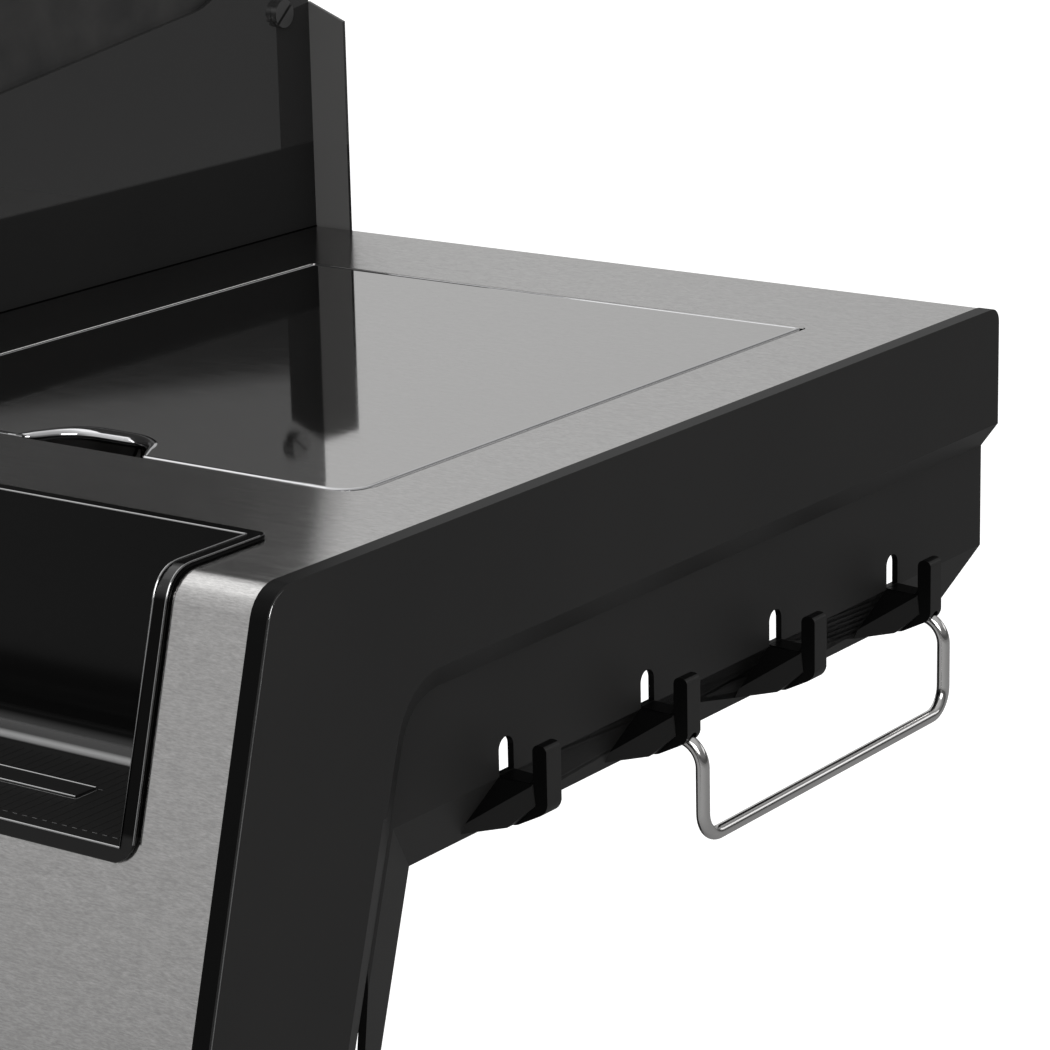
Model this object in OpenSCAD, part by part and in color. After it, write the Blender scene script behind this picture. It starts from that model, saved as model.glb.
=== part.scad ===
// Cart gas grill: three main burners under a hood, a flush side burner in the right shelf,
// a storage bin in the front of each shelf, and end caps with tool hooks and a towel bar.
// Millimetres. X to the right, Y to the back, Z up. The origin is on the ground, under the
// middle of the whole grill. Heights called drop are measured down from the shelf tops.

/* [Overall] */
// Width across the outer faces of the two firebox panels
box_w = 700; // [640:10:800]
// Height of the side shelves above the ground
shelf_z = 905; // [880:5:940]
// Thickness of the stainless sheet
sheet_t = 1.5; // [1:0.1:2]

/* [Side shelves] */
// From the firebox panel to the inner edge of the end cap
shelf_w = 404; // [390:1:460]
// From the rear edge to the corner above the sloping front
shelf_d = 542.5; // [530:2.5:560]
// Height of the sloping front
front_drop = 215; // [205:5:235]
// Lean of the front from the vertical, in degrees
front_lean = 15.75; // [12:0.25:18]
// Outside radius of the bend at the front edge
bend_r = 14; // [8:1:18]
// Depth of the rear flange
rear_flange = 32; // [20:2:50]
// Depth of the flanges at both ends
end_flange = 28; // [20:2:40]
// Width of the lip that turns back under the front
front_lip = 18; // [12:1:24]
// Gap between the shelf and the firebox panel
shelf_gap = 2; // [1:0.5:3]

/* [Side burner lid] */
// From the firebox panel to the opening for the lid
lid_x = 60.5; // [56:0.5:70]
// From the opening to the end of the shelf
lid_side = 50; // [46:0.5:60]
// From the rear edge of the shelf to the opening
lid_back = 79; // [72:1:84]
// From the opening to the corner above the sloping front
lid_front = 122.5; // [120:0.5:140]
// Seam round the lid
lid_seam = 2; // [1.5:0.1:2.5]
// Height of the folded rim under the lid
lid_skirt = 14; // [13:0.5:16]
// Radius of the lid's two front corners
lid_corner = 14; // [8:1:18]
// Width of the finger notch in the lid's front edge
notch_w = 68; // [50:1:80]
// Depth of the finger notch
notch_d = 20; // [14:1:24]
// From the lid's middle to the middle of the notch
notch_off = 1.25; // [-20:0.25:20]
// Diameter of the lid's hinge pins
lid_pin_d = 6; // [5:0.5:7]

/* [Side burner] */
// Depth of the burner bowl under the shelf
bowl_drop = 82; // [70:2:96]
// Drop to the ledge that carries the burner grate
ledge_drop = 22; // [20:1:26]
// Wall of the burner bowl
bowl_t = 1.5; // [1:0.1:2]
// Outside diameter of the burner head
head_d = 92; // [80:2:110]
// Width of the bars of the burner grate
grate_bar = 7; // [6:0.5:9]

/* [Storage bins] */
// From the firebox panel to the bin's rim
bin_x = 36; // [30:1:50]
// From the bin's rim to the end of the shelf
bin_side = 39; // [32:1:50]
// From the bin's rim to the corner above the sloping front
bin_d = 56.5; // [48:0.5:70]
// Height of the bin's front opening over its rim
bin_h = 106; // [96:1:112]
// Width of the rim
rim_w = 6.5; // [5:0.5:8]
// How far the rim stands on the sheet
rim_t = 2; // [1.5:0.1:2.5]
// Wall of the bin
bin_wall = 2.5; // [2:0.1:3]

/* [End caps] */
// Width of the lip round the shelf's end
cap_w = 8; // [7:0.5:12]
// Wall of the cap
cap_wall = 3; // [2.5:0.1:3.5]
// How far the lip stands above the shelf
cap_rise = 1.2; // [0.8:0.1:3]
// Drop from the shelf to the lower edge of the plain upper band
band_drop = 55.5; // [48:0.5:60]
// How far the field with the hooks is set in
recess_in = 9; // [7:0.5:10]
// Drop to the crease above the lower facet
crease_drop = 117; // [112:0.5:120]
// Drop to the lower edge of the cap behind the apron
skirt_drop = 141; // [136:0.5:146]
// How far the lower facet leans in
facet_in = 9; // [7:0.5:11]
// Width of the apron behind the sloping front
apron_w = 98.5; // [90:0.5:110]

/* [Hooks and towel bars] */
// From the rear edge of the shelf to the first hook
hook_first = 83.6; // [78:0.2:90]
// From the last hook to the corner above the sloping front
hook_last = 152.9; // [150:0.1:170]
// Width of a hook
hook_w = 10; // [8:0.5:11]
// From the hook field to the inside of the finger
hook_reach = 16.5; // [14:0.5:18]
// Thickness of the finger
finger_t = 7; // [6:0.5:8]
// Height of the finger above the seat
finger_h = 16; // [13:0.5:18]
// Diameter of the towel bar's wire
wire_d = 6; // [5:0.2:6.6]
// Bend radius of the towel bar at the middle of the wire
wire_bend = 12; // [10:0.5:14]
// Drop from the shelf to the towel bar
towel_drop = 172; // [165:1:190]

/* [Firebox] */
// Thickness of the black side panels
panel_t = 3; // [2:0.5:4]
// Width of the flange at the rear of each panel
panel_flange = 22.5; // [18:0.5:26]
// Height of that flange above the shelf
flange_h = 119; // [110:1:124]
// Thickness of the firebox sheet
box_t = 2; // [1.5:0.1:3]
// From the rear edge of the shelves to the firebox's back wall
box_back = 12; // [8:1:20]
// From the firebox's front wall to the corner above the sloping front
box_nose = 37.5; // [34:0.5:46]
// Height of the firebox's front rim above the shelves
rim_h = 62; // [56:1:66]
// Height of the firebox's back wall above the shelves
back_h = 88; // [80:1:92]
// Drop to the drain in the firebox floor
drain_drop = 212; // [200:2:220]
// Drop to where the firebox walls turn into the floor
wall_drop = 150; // [140:2:164]
// Width of the drain slot
drain_w = 60; // [40:2:80]

/* [Burners and grates] */
// Spacing of the three main burners
burner_pitch = 210; // [190:5:215]
// Diameter of the burner tubes
burner_d = 26; // [22:1:30]
// Drop to the middle of the burner tubes
burner_drop = 100; // [94:1:106]
// Width of a flame tamer
tamer_w = 86; // [70:2:100]
// Drop to the lower edge of the flame tamers
tamer_drop = 66; // [58:1:70]
// Height of the cooking surface above the shelves
grate_h = 24; // [16:1:30]
// Thickness of the grate bars
bar_t = 8; // [7:0.5:10]
// Bars in each cooking grate
bar_count = 14; // [10:1:16]
// Height of the warming rack above the shelves
rack_h = 150; // [140:2:170]

/* [Hood] */
// Height of the hood's top above the shelves
hood_h = 318; // [300:2:340]
// From the firebox's front wall to the front end of the hood's flat top
hood_brow = 185; // [170:5:200]
// Thickness of the hood's skin
hood_t = 1.5; // [1:0.1:2]
// Thickness of the hood's cast ends
hood_end_t = 6.5; // [5:0.5:8]
// Height of the hood hinge above the shelves
pivot_h = 116; // [112:1:120]
// From the rear edge of the shelves to the hood hinge
pivot_back = 24; // [22:1:28]
// Diameter of the hinge screws' shank
screw_d = 8; // [7:0.5:9]
// Diameter of the hinge screws' slotted head
screw_head = 14.5; // [13:0.5:16]
// Length of the handle
handle_w = 520; // [440:10:600]
// Diameter of the handle
handle_d = 24; // [20:1:28]
// From the hood to the middle of the handle
handle_off = 58; // [50:1:62]
// From the ends of the handle to its two posts
handle_in = 30; // [24:1:60]
// Diameter of the thermometer
gauge_d = 76; // [64:2:90]

/* [Controls] */
// Drop to the middle of the knobs
knob_drop = 100; // [94:1:108]
// From the middle to the side burner's knob
side_knob_x = 300; // [290:1:302]
// Diameter of the knobs' skirt
knob_d = 56; // [50:1:60]
// Diameter of the knobs' grip
grip_d = 42; // [36:1:44]
// Height of a knob above the control panel
knob_h = 38; // [34:1:42]
// Outside diameter of the bezels
bezel_d = 70; // [66:1:76]
// How far a knob pushes in
knob_push = 3; // [2:0.5:4]
// Diameter of the valve stems
stem_d = 8; // [7:0.5:9]
// Diameter of the ignition button
button_d = 20; // [16:1:24]
// How far the ignition button travels
button_push = 4; // [3:0.5:5]
// Diameter of the gas manifold
manifold_d = 20; // [18:1:24]
// Diameter of the gas inlet fitting's thread
inlet_d = 15.88; // [12:0.01:18]

/* [Cart] */
// Thickness of the cart's sheet panels, with their folded edges
cart_t = 20; // [16:1:24]
// Height of the cart's underside above the ground
cart_z = 96; // [96:1:104]
// Height of the cart's base
base_h = 26; // [20:1:30]
// From the rear edge of the shelves to the cart's back
cart_back_y = 14; // [10:1:20]
// From the cart's front edge to the corner above the sloping front
cart_nose = 28.5; // [26:0.5:34]
// Thickness of the doors
door_t = 22; // [18:1:26]
// Gap round the doors
door_gap = 3; // [2:0.5:4]
// Diameter of the doors' hinge pins
door_pin_d = 8; // [6:0.5:10]
// Length of the door handles
door_handle_h = 260; // [200:10:320]
// Drop to the lower edge of the cart's front rail
rail_drop = 262; // [256:2:270]

/* [Casters] */
// Diameter of the wheels
wheel_d = 75; // [70:1:75]
// Width of the wheels
wheel_w = 26; // [22:1:30]
// Offset of the axle behind the swivel axis
trail = 26; // [20:1:30]
// Diameter of the axles
axle_d = 10; // [8:0.5:12]
// From the cart's side to the middle of a caster
caster_in = 48; // [44:1:60]

/* [Grease tray] */
// Width of the grease tray
tray_w = 560; // [480:10:600]
// Depth of the grease tray's pan
tray_h = 26; // [20:1:30]
// Size of the square grease cup
cup_w = 110; // [90:2:130]
// Depth of the grease cup
cup_h = 40; // [30:2:46]

/* [Hidden] */
$fn = 48;

// Running clearance of pins in their bores, and the gap between other moving pieces
fit = 0.05;
gap = 0.3;
// Overlap that joins two solids of one piece, and how far a cut runs past its solid
join = 0.2;
over = 1;
steel = "silver";
dark = [0.18, 0.18, 0.19];
black = [0.1, 0.1, 0.1];

// Y of the sloping front at a drop below the shelves
function front_y(drop) = -shelf_d - drop * tan(front_lean);
front_reach = -front_y(knob_drop) + knob_h * cos(front_lean) + (grip_d / 2 - 2) * sin(front_lean);
panel_rear = 2;
mid_y = (front_reach - panel_rear) / 2;
box_x = box_w / 2;

// Places that follow the shelf's width and depth
lid_w = shelf_w - lid_x - lid_side;
lid_d = shelf_d - lid_back - lid_front;
bin_w = shelf_w - bin_x - bin_side;
bin_back = shelf_d - bin_d;
hook_pitch = (shelf_d - hook_first - hook_last) / 3;
box_front = shelf_d - box_nose;
cart_front_y = shelf_d - cart_nose;

// Vectors and outlines. A point of an outline is [x, y, corner radius].
function unit(v) = v / norm(v);
function flat(p) = [p.x, p.y];
function heading(a, b) = unit(flat(b) - flat(a));
function spin(p, a) = [p.x * cos(a) - p.y * sin(a), p.x * sin(a) + p.y * cos(a)];
function reversed(list) = [for (i = [len(list) - 1:-1:0]) list[i]];

// A corner at b between a and c, rounded by the radius of b
function corner(a, b, c, n = 6) =
    b[2] <= 0 ? [flat(b)] :
    let (u = heading(b, a), v = heading(b, c), half = acos(u * v) / 2,
        middle = flat(b) + unit(u + v) * b[2] / sin(half),
        start = flat(b) + u * b[2] / tan(half) - middle,
        end = flat(b) + v * b[2] / tan(half) - middle,
        turn = start.x * end.y > start.y * end.x ? 180 - 2 * half : 2 * half - 180)
    [for (i = [0:n]) middle + spin(start, turn * i / n)];

// A closed outline with its corners rounded
function ring(p) = [for (i = [0:len(p) - 1])
    each corner(p[(i + len(p) - 1) % len(p)], p[i], p[(i + 1) % len(p)])];

// An open path with its inner corners rounded
function bent(p) = [for (i = [0:len(p) - 1])
    each (i == 0 || i == len(p) - 1) ? [flat(p[i])] : corner(p[i - 1], p[i], p[i + 1])];

// A point moved to the left of the headings d and e of its two sides
function moved(p, d, e, t) =
    let (side = d.x * e.y - d.y * e.x, step = spin(d, 90) + spin(e, 90))
    concat(flat(p) + step * t / (1 + d * e), p[2] > 0 ? max(p[2] - sign(side) * t, 0.1) : 0);

// An open path moved to its left by t
function beside(p, t) = [for (i = [0:len(p) - 1])
    let (last = len(p) - 1, a = max(i - 1, 0), b = min(i, last - 1))
    moved(p[i], heading(p[a], p[a + 1]), heading(p[b], p[b + 1]), t)];

// A closed outline moved to its left by t
function inside(p, t) = [for (i = [0:len(p) - 1])
    let (n = len(p), a = p[(i + n - 1) % n], c = p[(i + 1) % n])
    moved(p[i], heading(a, p[i]), heading(p[i], c), t)];

// Bent sheet of thickness t on the left of a path
module strip(p, t) polygon(concat(bent(p), reversed(bent(beside(p, t)))));

// Extrusions from one coordinate to another, of outlines in the other two axes
module along_x(a, b) translate([a, 0, 0]) rotate([90, 0, 90]) linear_extrude(b - a) children();
module along_y(a, b) translate([0, b, 0]) rotate([90, 0, 0]) linear_extrude(b - a) children();
module along_z(a, b) translate([0, 0, a]) linear_extrude(b - a) children();
module span(a, b) translate(a) cube(b - a);
module rod_x(a, b, r) translate([a, 0, 0]) rotate([0, 90, 0]) cylinder(r = r, h = b - a);
module rod_y(a, b, r) translate([0, b, 0]) rotate([90, 0, 0]) cylinder(r = r, h = b - a);
module rod_z(a, b, r) translate([0, 0, a]) cylinder(r = r, h = b - a);

// The whole grill is drawn from the middle of the shelves' rear edge, and moved once here
module placed() translate([0, mid_y, 0]) children();
// Frame of one end: X from the firebox panel outwards, Z from the shelf top
module at_end(side) placed() mirror([side < 0 ? 1 : 0, 0, 0]) translate([box_x, 0, shelf_z]) children();
// Frame of the middle: Z from the shelf tops
module at_shelf() placed() translate([0, 0, shelf_z]) children();
// Frame on the control panel: Z out of its face
module at_panel(x, drop) placed() translate([x, front_y(drop), shelf_z - drop])
    rotate([90 - front_lean, 0, 0]) children();

// Side shelves

// Outer face of the shelf from its rear flange to its front lip, as Y and Z
shelf_path = [[0, -rear_flange, 0], [0, 0, 3], [-shelf_d, 0, bend_r],
    [front_y(front_drop), -front_drop, 3], [front_y(front_drop) + front_lip, -front_drop, 0]];
bin_open = rim_w - bin_wall - 0.5;
flange_front = shelf_d - 60;
spacer_r = 8;

module shelf_sheet() {
    difference() {
        along_x(shelf_gap, shelf_w) strip(shelf_path, sheet_t);
        span([bin_x + bin_open, front_y(front_drop), bin_open - bin_h],
            [bin_x + bin_w - bin_open, -bin_back - bin_open, over]);
    }
    for (x = [shelf_gap, shelf_w - sheet_t])
        span([x, -flange_front, -end_flange], [x + sheet_t, -sheet_t + join, -sheet_t + join]);
    for (y = [0.2, 0.8])
        translate([0, -flange_front * y, -end_flange / 2]) rod_x(0, shelf_gap + join, spacer_r);
}

module shelf_right() color(steel) at_end(1) difference() {
    shelf_sheet();
    along_z(-sheet_t - over, over) polygon(ring(lid_outline(0)));
}

module shelf_left() color(steel) at_end(-1) shelf_sheet();

// Flush lid of the side burner

// The lid's opening, made smaller by inset all round
rear_corner = 2;
function lid_outline(inset) = [
    [lid_x + inset, -lid_back - inset, rear_corner],
    [lid_x + inset, -lid_back - lid_d + inset, lid_corner],
    [lid_x + lid_w - inset, -lid_back - lid_d + inset, lid_corner],
    [lid_x + lid_w - inset, -lid_back - inset, rear_corner]];

// The lid's hinge pins, a step inside its rear edge and below its top
pivot_in = 8;
lid_pivot_y = -lid_back - lid_seam - pivot_in;
lid_pivot_z = -pivot_in;
ear_gap = 2.5;
ear_t = 8;
ear_half = 9;

// The finger notch, narrower at its far side
notch_mid = lid_x + lid_w / 2 + notch_off;
notch_y = -lid_back - lid_d + lid_seam;
notch_far = 0.3 * notch_w;
notch_r = 24;
notch_points = [[notch_mid - notch_w / 2, notch_y, 0], [notch_mid - notch_far, notch_y + notch_d, notch_r],
    [notch_mid + notch_far, notch_y + notch_d, notch_r], [notch_mid + notch_w / 2, notch_y, 0]];

module lid_shape(inset) difference() {
    polygon(ring(lid_outline(lid_seam + inset)));
    offset_notch(inset);
}

module offset_notch(grow) polygon(concat([[notch_mid + notch_w / 2 + grow, notch_y - 5],
    [notch_mid - notch_w / 2 - grow, notch_y - 5]], bent(beside(notch_points, grow))));

module side_burner_lid() color(steel) at_end(1) {
    difference() {
        along_z(-lid_skirt, 0) lid_shape(0);
        along_z(-lid_skirt - over, -sheet_t) lid_shape(sheet_t);
    }
    for (x = [lid_x - ear_gap - ear_t, lid_x + lid_w - lid_seam - join])
        translate([0, lid_pivot_y, lid_pivot_z])
            rod_x(x, x + ear_t + ear_gap + lid_seam + join, lid_pin_d / 2);
}

// Bowl, burner and grate under the lid
bowl_margin = 14;
bowl_in = 12;
bowl_flange = 10;
burner_x = lid_x + lid_w / 2;
burner_y = -lid_back - lid_d / 2;
feed_hole_r = 16;

module side_burner_bowl() color(black) at_end(1) difference() {
    union() {
        along_z(-sheet_t - bowl_t, -sheet_t) polygon(ring(lid_outline(-bowl_margin - bowl_flange)));
        along_z(-ledge_drop - bowl_t, -sheet_t) polygon(ring(lid_outline(-bowl_margin)));
        along_z(-bowl_drop, -ledge_drop) polygon(ring(lid_outline(bowl_in - bowl_t)));
    }
    difference() {
        along_z(-ledge_drop, 0) polygon(ring(lid_outline(-bowl_margin + bowl_t)));
        for (x = [lid_x - ear_gap - ear_t, lid_x + lid_w + ear_gap])
            hinge_ear(x);
    }
    along_z(-bowl_drop + bowl_t, 0) polygon(ring(lid_outline(bowl_in)));
    translate([0, lid_pivot_y, lid_pivot_z])
        rod_x(lid_x - bowl_margin - over, lid_x + lid_w + bowl_margin + over, lid_pin_d / 2 + fit);
    translate([burner_x, burner_y, 0]) rod_z(-bowl_drop - over, -ledge_drop, feed_hole_r);
}

// Ear that carries a hinge pin of the lid
module hinge_ear(x)
    span([x, lid_pivot_y - ear_half, -ledge_drop - over], [x + ear_t, lid_pivot_y + ear_half, -sheet_t]);

// Burner head with a ring of ports, its cap on a neck, and its feed through the bowl
head_top = -ledge_drop - 24;
head_h = 18;
head_cap_h = 8;
neck_h = 2;
port_r = 2;
port_z = head_top - 6;
port_step = 15;
feed_low = -bowl_drop - 12;
nut_h = 3;

module side_burner() color(dark) at_end(1) translate([burner_x, burner_y, 0]) {
    rod_z(head_top + neck_h, head_top + neck_h + head_cap_h, head_d / 2 - 8);
    difference() {
        rod_z(head_top - head_h, head_top, head_d / 2);
        for (a = [0:port_step:359])
            rotate([0, 0, a]) translate([0, 0, port_z]) rod_x(head_d / 2 - 6, head_d, port_r);
    }
    rod_z(head_top - join, head_top + neck_h + join, head_d / 2 - 14);
    rod_z(feed_low, head_top - head_h + join, feed_hole_r - 2);
    rod_z(-bowl_drop + bowl_t, -bowl_drop + bowl_t + nut_h, feed_hole_r + 10);
}

// Grate on the bowl's ledge, with bars both ways and none over the middle of the burner
grate_edge = bowl_in - 6;
grate_off = 60;

module side_burner_grate() color(black) at_end(1) {
    low = -ledge_drop;
    high = low + grate_bar;
    x0 = lid_x + grate_edge;
    x1 = lid_x + lid_w - grate_edge;
    y0 = -lid_back - lid_d + grate_edge;
    y1 = lid_pivot_y - 16;
    difference() {
        span([x0, y0, low], [x1, y1, high]);
        span([x0 + grate_bar, y0 + grate_bar, low - over], [x1 - grate_bar, y1 - grate_bar, high + over]);
    }
    for (i = [1, 2, 4, 5]) {
        x = x0 + (x1 - x0 - grate_bar) * i / 6;
        span([x, y0 + join, low], [x + grate_bar, y1 - join, high]);
    }
    for (side = [-1, 1]) {
        y = (y0 + y1) / 2 + side * grate_off;
        span([x0 + join, y, low], [x1 - join, y + grate_bar, high]);
    }
}

// Storage bins
bin_path = [[-bin_back, 0, 0], [-shelf_d, 0, bend_r], [front_y(bin_h), -bin_h, 0]];
bin_floor = rim_w - bin_h;
bin_rear = -bin_back - rim_w;
bin_fillet = 12;
bin_over = 30;
rim_corner = 5;
mouth_corner = 11;

// The space inside a bin, as Y and Z, open above and in front
module bin_space(out) polygon(ring([[bin_rear + out, bin_over, 0],
    [front_y(bin_h) - bin_over, bin_over, 0], [front_y(bin_h) - bin_over, bin_floor - out, 0],
    [bin_rear + out, bin_floor - out, bin_fillet + out]]));

module bin_shape() {
    along_x(bin_x, bin_x + bin_w) strip(beside(bin_path, -rim_t), rim_t);
    along_x(bin_x + rim_w - bin_wall, bin_x + bin_w - rim_w + bin_wall) intersection() {
        bin_space(bin_wall);
        polygon(concat(bent(beside(bin_path, -rim_t)),
            [[front_y(bin_h) + 90, -bin_h], [-bin_back, -bin_h - 20]]));
    }
}

// Low ridge along the floor of a bin
ridge_in = 50;
ridge_y = bin_rear - 43;
ridge_w = 12;
ridge_h = 1.2;

module storage_bin() difference() {
    intersection() {
        bin_shape();
        along_y(-shelf_d - front_drop, 0) polygon(ring([[bin_x, -bin_h, mouth_corner],
            [bin_x + bin_w, -bin_h, mouth_corner], [bin_x + bin_w, bin_over, 0], [bin_x, bin_over, 0]]));
        along_z(-front_drop, bin_over) polygon(ring([[bin_x, -bin_back, rim_corner],
            [bin_x, -shelf_d - front_drop, 0], [bin_x + bin_w, -shelf_d - front_drop, 0],
            [bin_x + bin_w, -bin_back, rim_corner]]));
    }
    difference() {
        along_x(bin_x + rim_w, bin_x + bin_w - rim_w) bin_space(0);
        span([bin_x + rim_w + ridge_in, ridge_y - ridge_w / 2, bin_floor - over],
            [bin_x + bin_w - rim_w - ridge_in, ridge_y + ridge_w / 2, bin_floor + ridge_h]);
    }
}

module bin_right() color(black) at_end(1) storage_bin();
module bin_left() color(black) at_end(-1) storage_bin();

// End caps
cap_x = shelf_w + cap_w;
field_x = cap_x - recess_in;
facet_x = field_x - facet_in;
field_top = band_drop + 12;
field_low = front_drop + 60;
recess_lean = 0.31;
skirt_front = apron_w - shelf_d;
facet_end = skirt_drop - crease_drop;
apron_rear_bottom = skirt_front - recess_lean * (front_drop - skirt_drop);

// Side outline of the cap, as Y and Z, from its lower rear corner round the front
cap_outline = [[0, -crease_drop, 0], [-facet_end, -skirt_drop, 0], [skirt_front, -skirt_drop, 0],
    [apron_rear_bottom, -front_drop, 4], [front_y(front_drop) - cap_rise, -front_drop, 6],
    [front_y(-cap_rise) - cap_rise, cap_rise, bend_r + cap_rise], [0, cap_rise, 7]];

// Outline of the set-in field at one depth, open towards the rear
module field_outline(top, front, r, out) polygon(ring([[20, -top + out, 0],
    [20, -field_low, 0], [front - out - recess_lean * (field_low - top), -field_low, 0],
    [front - out, -top + out, r + out]]));

// What the set-in field and the lower facet take off the cap. out is a wall behind them.
module cap_recess(out) {
    hull() {
        along_x(cap_x + 1 - out, cap_x + 1.1 - out)
            field_outline(band_drop - 1.3, skirt_front - 22, 30, out);
        along_x(field_x - out, field_x + 0.1 - out)
            field_outline(field_top, skirt_front - 8, 24, out);
    }
    hull() {
        along_x(cap_x + 1 - out, cap_x + 1.1 - out) facet_slice(crease_drop - 12, skirt_front - 40 - out);
        along_x(field_x - out, field_x + 0.1 - out) facet_slice(crease_drop, skirt_front - 21 - out);
        along_x(facet_x - out, facet_x + 0.1 - out) facet_slice(skirt_drop, skirt_front - out);
    }
}

module facet_slice(drop, front) polygon([[20, -drop], [front, -drop],
    [front - recess_lean * (field_low - drop), -field_low], [20, -field_low]]);

boss_r = 7;

module end_cap_shell() difference() {
    difference() {
        union() {
            along_x(shelf_w, cap_x) polygon(ring(cap_outline));
            along_x(facet_x - cap_wall, shelf_w + join) intersection() {
                polygon(ring(cap_outline));
                translate([skirt_front - 40, -front_drop])
                    square([-skirt_front + 40, front_drop - field_top + 12]);
            }
        }
        cap_recess(0);
    }
    difference() {
        along_x(facet_x - cap_wall - over, cap_x - cap_wall)
            polygon(ring(inside(cap_outline, -cap_wall)));
        cap_recess(cap_wall);
        for (y = [0.2, 0.5, 0.8])
            translate([0, -flange_front * y, -end_flange / 2]) rod_x(shelf_w, cap_x, boss_r);
    }
}

// Hooks. X and Z from the end frame, Y from the middle of the hook
seat_drop = crease_drop - 1;
finger_x = field_x + hook_reach;
socket_drop = crease_drop + 11;
hook_outline = [[field_x - 2, -seat_drop, 0], [facet_x - 1, 3 - skirt_drop, 0],
    [field_x + 8, 5 - skirt_drop, 8], [finger_x + finger_t, -seat_drop - 12, 7],
    [finger_x + finger_t, finger_h - seat_drop, 3], [finger_x, finger_h - seat_drop, 3],
    [finger_x, -seat_drop - 1, 3]];
gusset_w = 25;

module hook() {
    along_y(-hook_w / 2, hook_w / 2) polygon(ring(hook_outline));
    intersection() {
        along_y(-gusset_w, gusset_w) polygon([[field_x - 2, -seat_drop - 1], [facet_x - 1, 3 - skirt_drop],
            [field_x + 8, 6 - skirt_drop], [finger_x + 1, -seat_drop - 10], [finger_x, -seat_drop - 1]]);
        along_x(facet_x - 4, cap_x + 20) polygon([[-hook_w / 2, -seat_drop], [hook_w / 2, -seat_drop],
            [gusset_w, 3 - skirt_drop], [gusset_w, -skirt_drop], [-gusset_w, -skirt_drop],
            [-gusset_w, 3 - skirt_drop]]);
        along_z(-skirt_drop - 5, 0) polygon([[facet_x - 4, -gusset_w], [finger_x + 2, -hook_w / 2],
            [finger_x + 2, hook_w / 2], [facet_x - 4, gusset_w]]);
    }
}

function hook_y(i) = -hook_first - i * hook_pitch;

module end_cap() difference() {
    union() {
        end_cap_shell();
        for (i = [0:3])
            translate([0, hook_y(i), 0]) hook();
    }
    for (i = [0:3])
        translate([0, hook_y(i), 0]) {
            span([field_x - cap_wall - 3, -hook_w / 2, -seat_drop],
                [field_x + 1, hook_w / 2, 10 - seat_drop]);
            translate([0, 0, 10 - seat_drop]) rod_x(field_x - cap_wall - 3, field_x + 1, hook_w / 2);
        }
    for (i = [0, 2])
        translate([0, hook_y(i), -socket_drop]) rod_x(field_x + 3, cap_x + 30, wire_d / 2 + fit);
}

module end_cap_right() color(dark) at_end(1) end_cap();
module end_cap_left() color(dark) at_end(-1) end_cap();

// Towel bars
towel_x = finger_x + finger_t + wire_d / 2 + 1;

// A quarter bend of the wire in X and Y, from the X axis to the Y axis
module wire_elbow() rotate_extrude(angle = 90) translate([wire_bend, 0]) circle(d = wire_d);

module towel_bar() {
    r = wire_d / 2;
    for (i = [0, 2]) translate([0, hook_y(i), 0]) {
        translate([0, 0, -socket_drop]) rod_x(field_x + 4, towel_x - wire_bend, r);
        translate([towel_x - wire_bend, 0, -socket_drop - wire_bend]) rotate([90, 0, 0]) wire_elbow();
        translate([towel_x, 0, 0]) rod_z(wire_bend - towel_drop, -socket_drop - wire_bend, r);
    }
    for (end = [[0, -1, -90], [2, 1, 180]])
        translate([towel_x, hook_y(end[0]) + end[1] * wire_bend, wire_bend - towel_drop])
            rotate([90, 0, 90]) rotate([0, 0, end[2]]) wire_elbow();
    translate([towel_x, 0, -towel_drop]) rod_y(hook_y(2) + wire_bend, hook_y(0) - wire_bend, r);
}

module towel_bar_right() color(steel) at_end(1) towel_bar();
module towel_bar_left() color(steel) at_end(-1) towel_bar();

// Firebox and its side panels
feed_y = -box_front - 18;
feed_drop = burner_drop + 26;
pipe_hole_r = 7;
ear_h = pivot_h + 38;
panel_outline = [[panel_rear, -front_drop, 0], [front_y(front_drop) + 2, -front_drop, 2],
    [front_y(0) + 2, 0, 0], [-shelf_d + 4, rim_h - 28, 8], [-box_front - 18, rim_h + 2, 10],
    [-pivot_back - 46, pivot_h + 12, 40], [-pivot_back - 34, ear_h, 14], [0, ear_h, 14],
    [0, flange_h, 0], [panel_rear, flange_h, 0]];

module firebox_panel() difference() {
    union() {
        along_x(-panel_t, 0) polygon(ring(panel_outline));
        along_y(0, panel_rear) polygon([[-join, -front_drop], [panel_flange, -front_drop],
            [panel_flange, flange_h - 9], [-join, flange_h]]);
    }
    translate([0, -pivot_back, pivot_h]) rod_x(-panel_t - over, over, screw_d / 2 + fit);
    translate([0, feed_y, -feed_drop]) rod_x(-panel_t - over, over, pipe_hole_r);
}

module firebox_panel_right() color(black) at_end(1) firebox_panel();
module firebox_panel_left() color(black) at_end(-1) firebox_panel();

drain_lip = 12;
box_in_x = box_x - panel_t - gap - hood_end_t - 2;
box_mid = (box_back + box_front) / 2;
rim_front = box_front + 28;

// Inner face of the firebox, back half and front half, as Y and Z
box_rear_path = [[-box_back, back_h, 0], [-box_back, -wall_drop, 20],
    [-box_mid + drain_w / 2, -drain_drop, 6], [-box_mid + drain_w / 2, -drain_drop - drain_lip, 0]];
box_front_path = [[-rim_front, rim_h, 0], [-box_front, rim_h, 3], [-box_front, -wall_drop, 20],
    [-box_mid - drain_w / 2, -drain_drop, 6], [-box_mid - drain_w / 2, -drain_drop - drain_lip, 0]];

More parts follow.
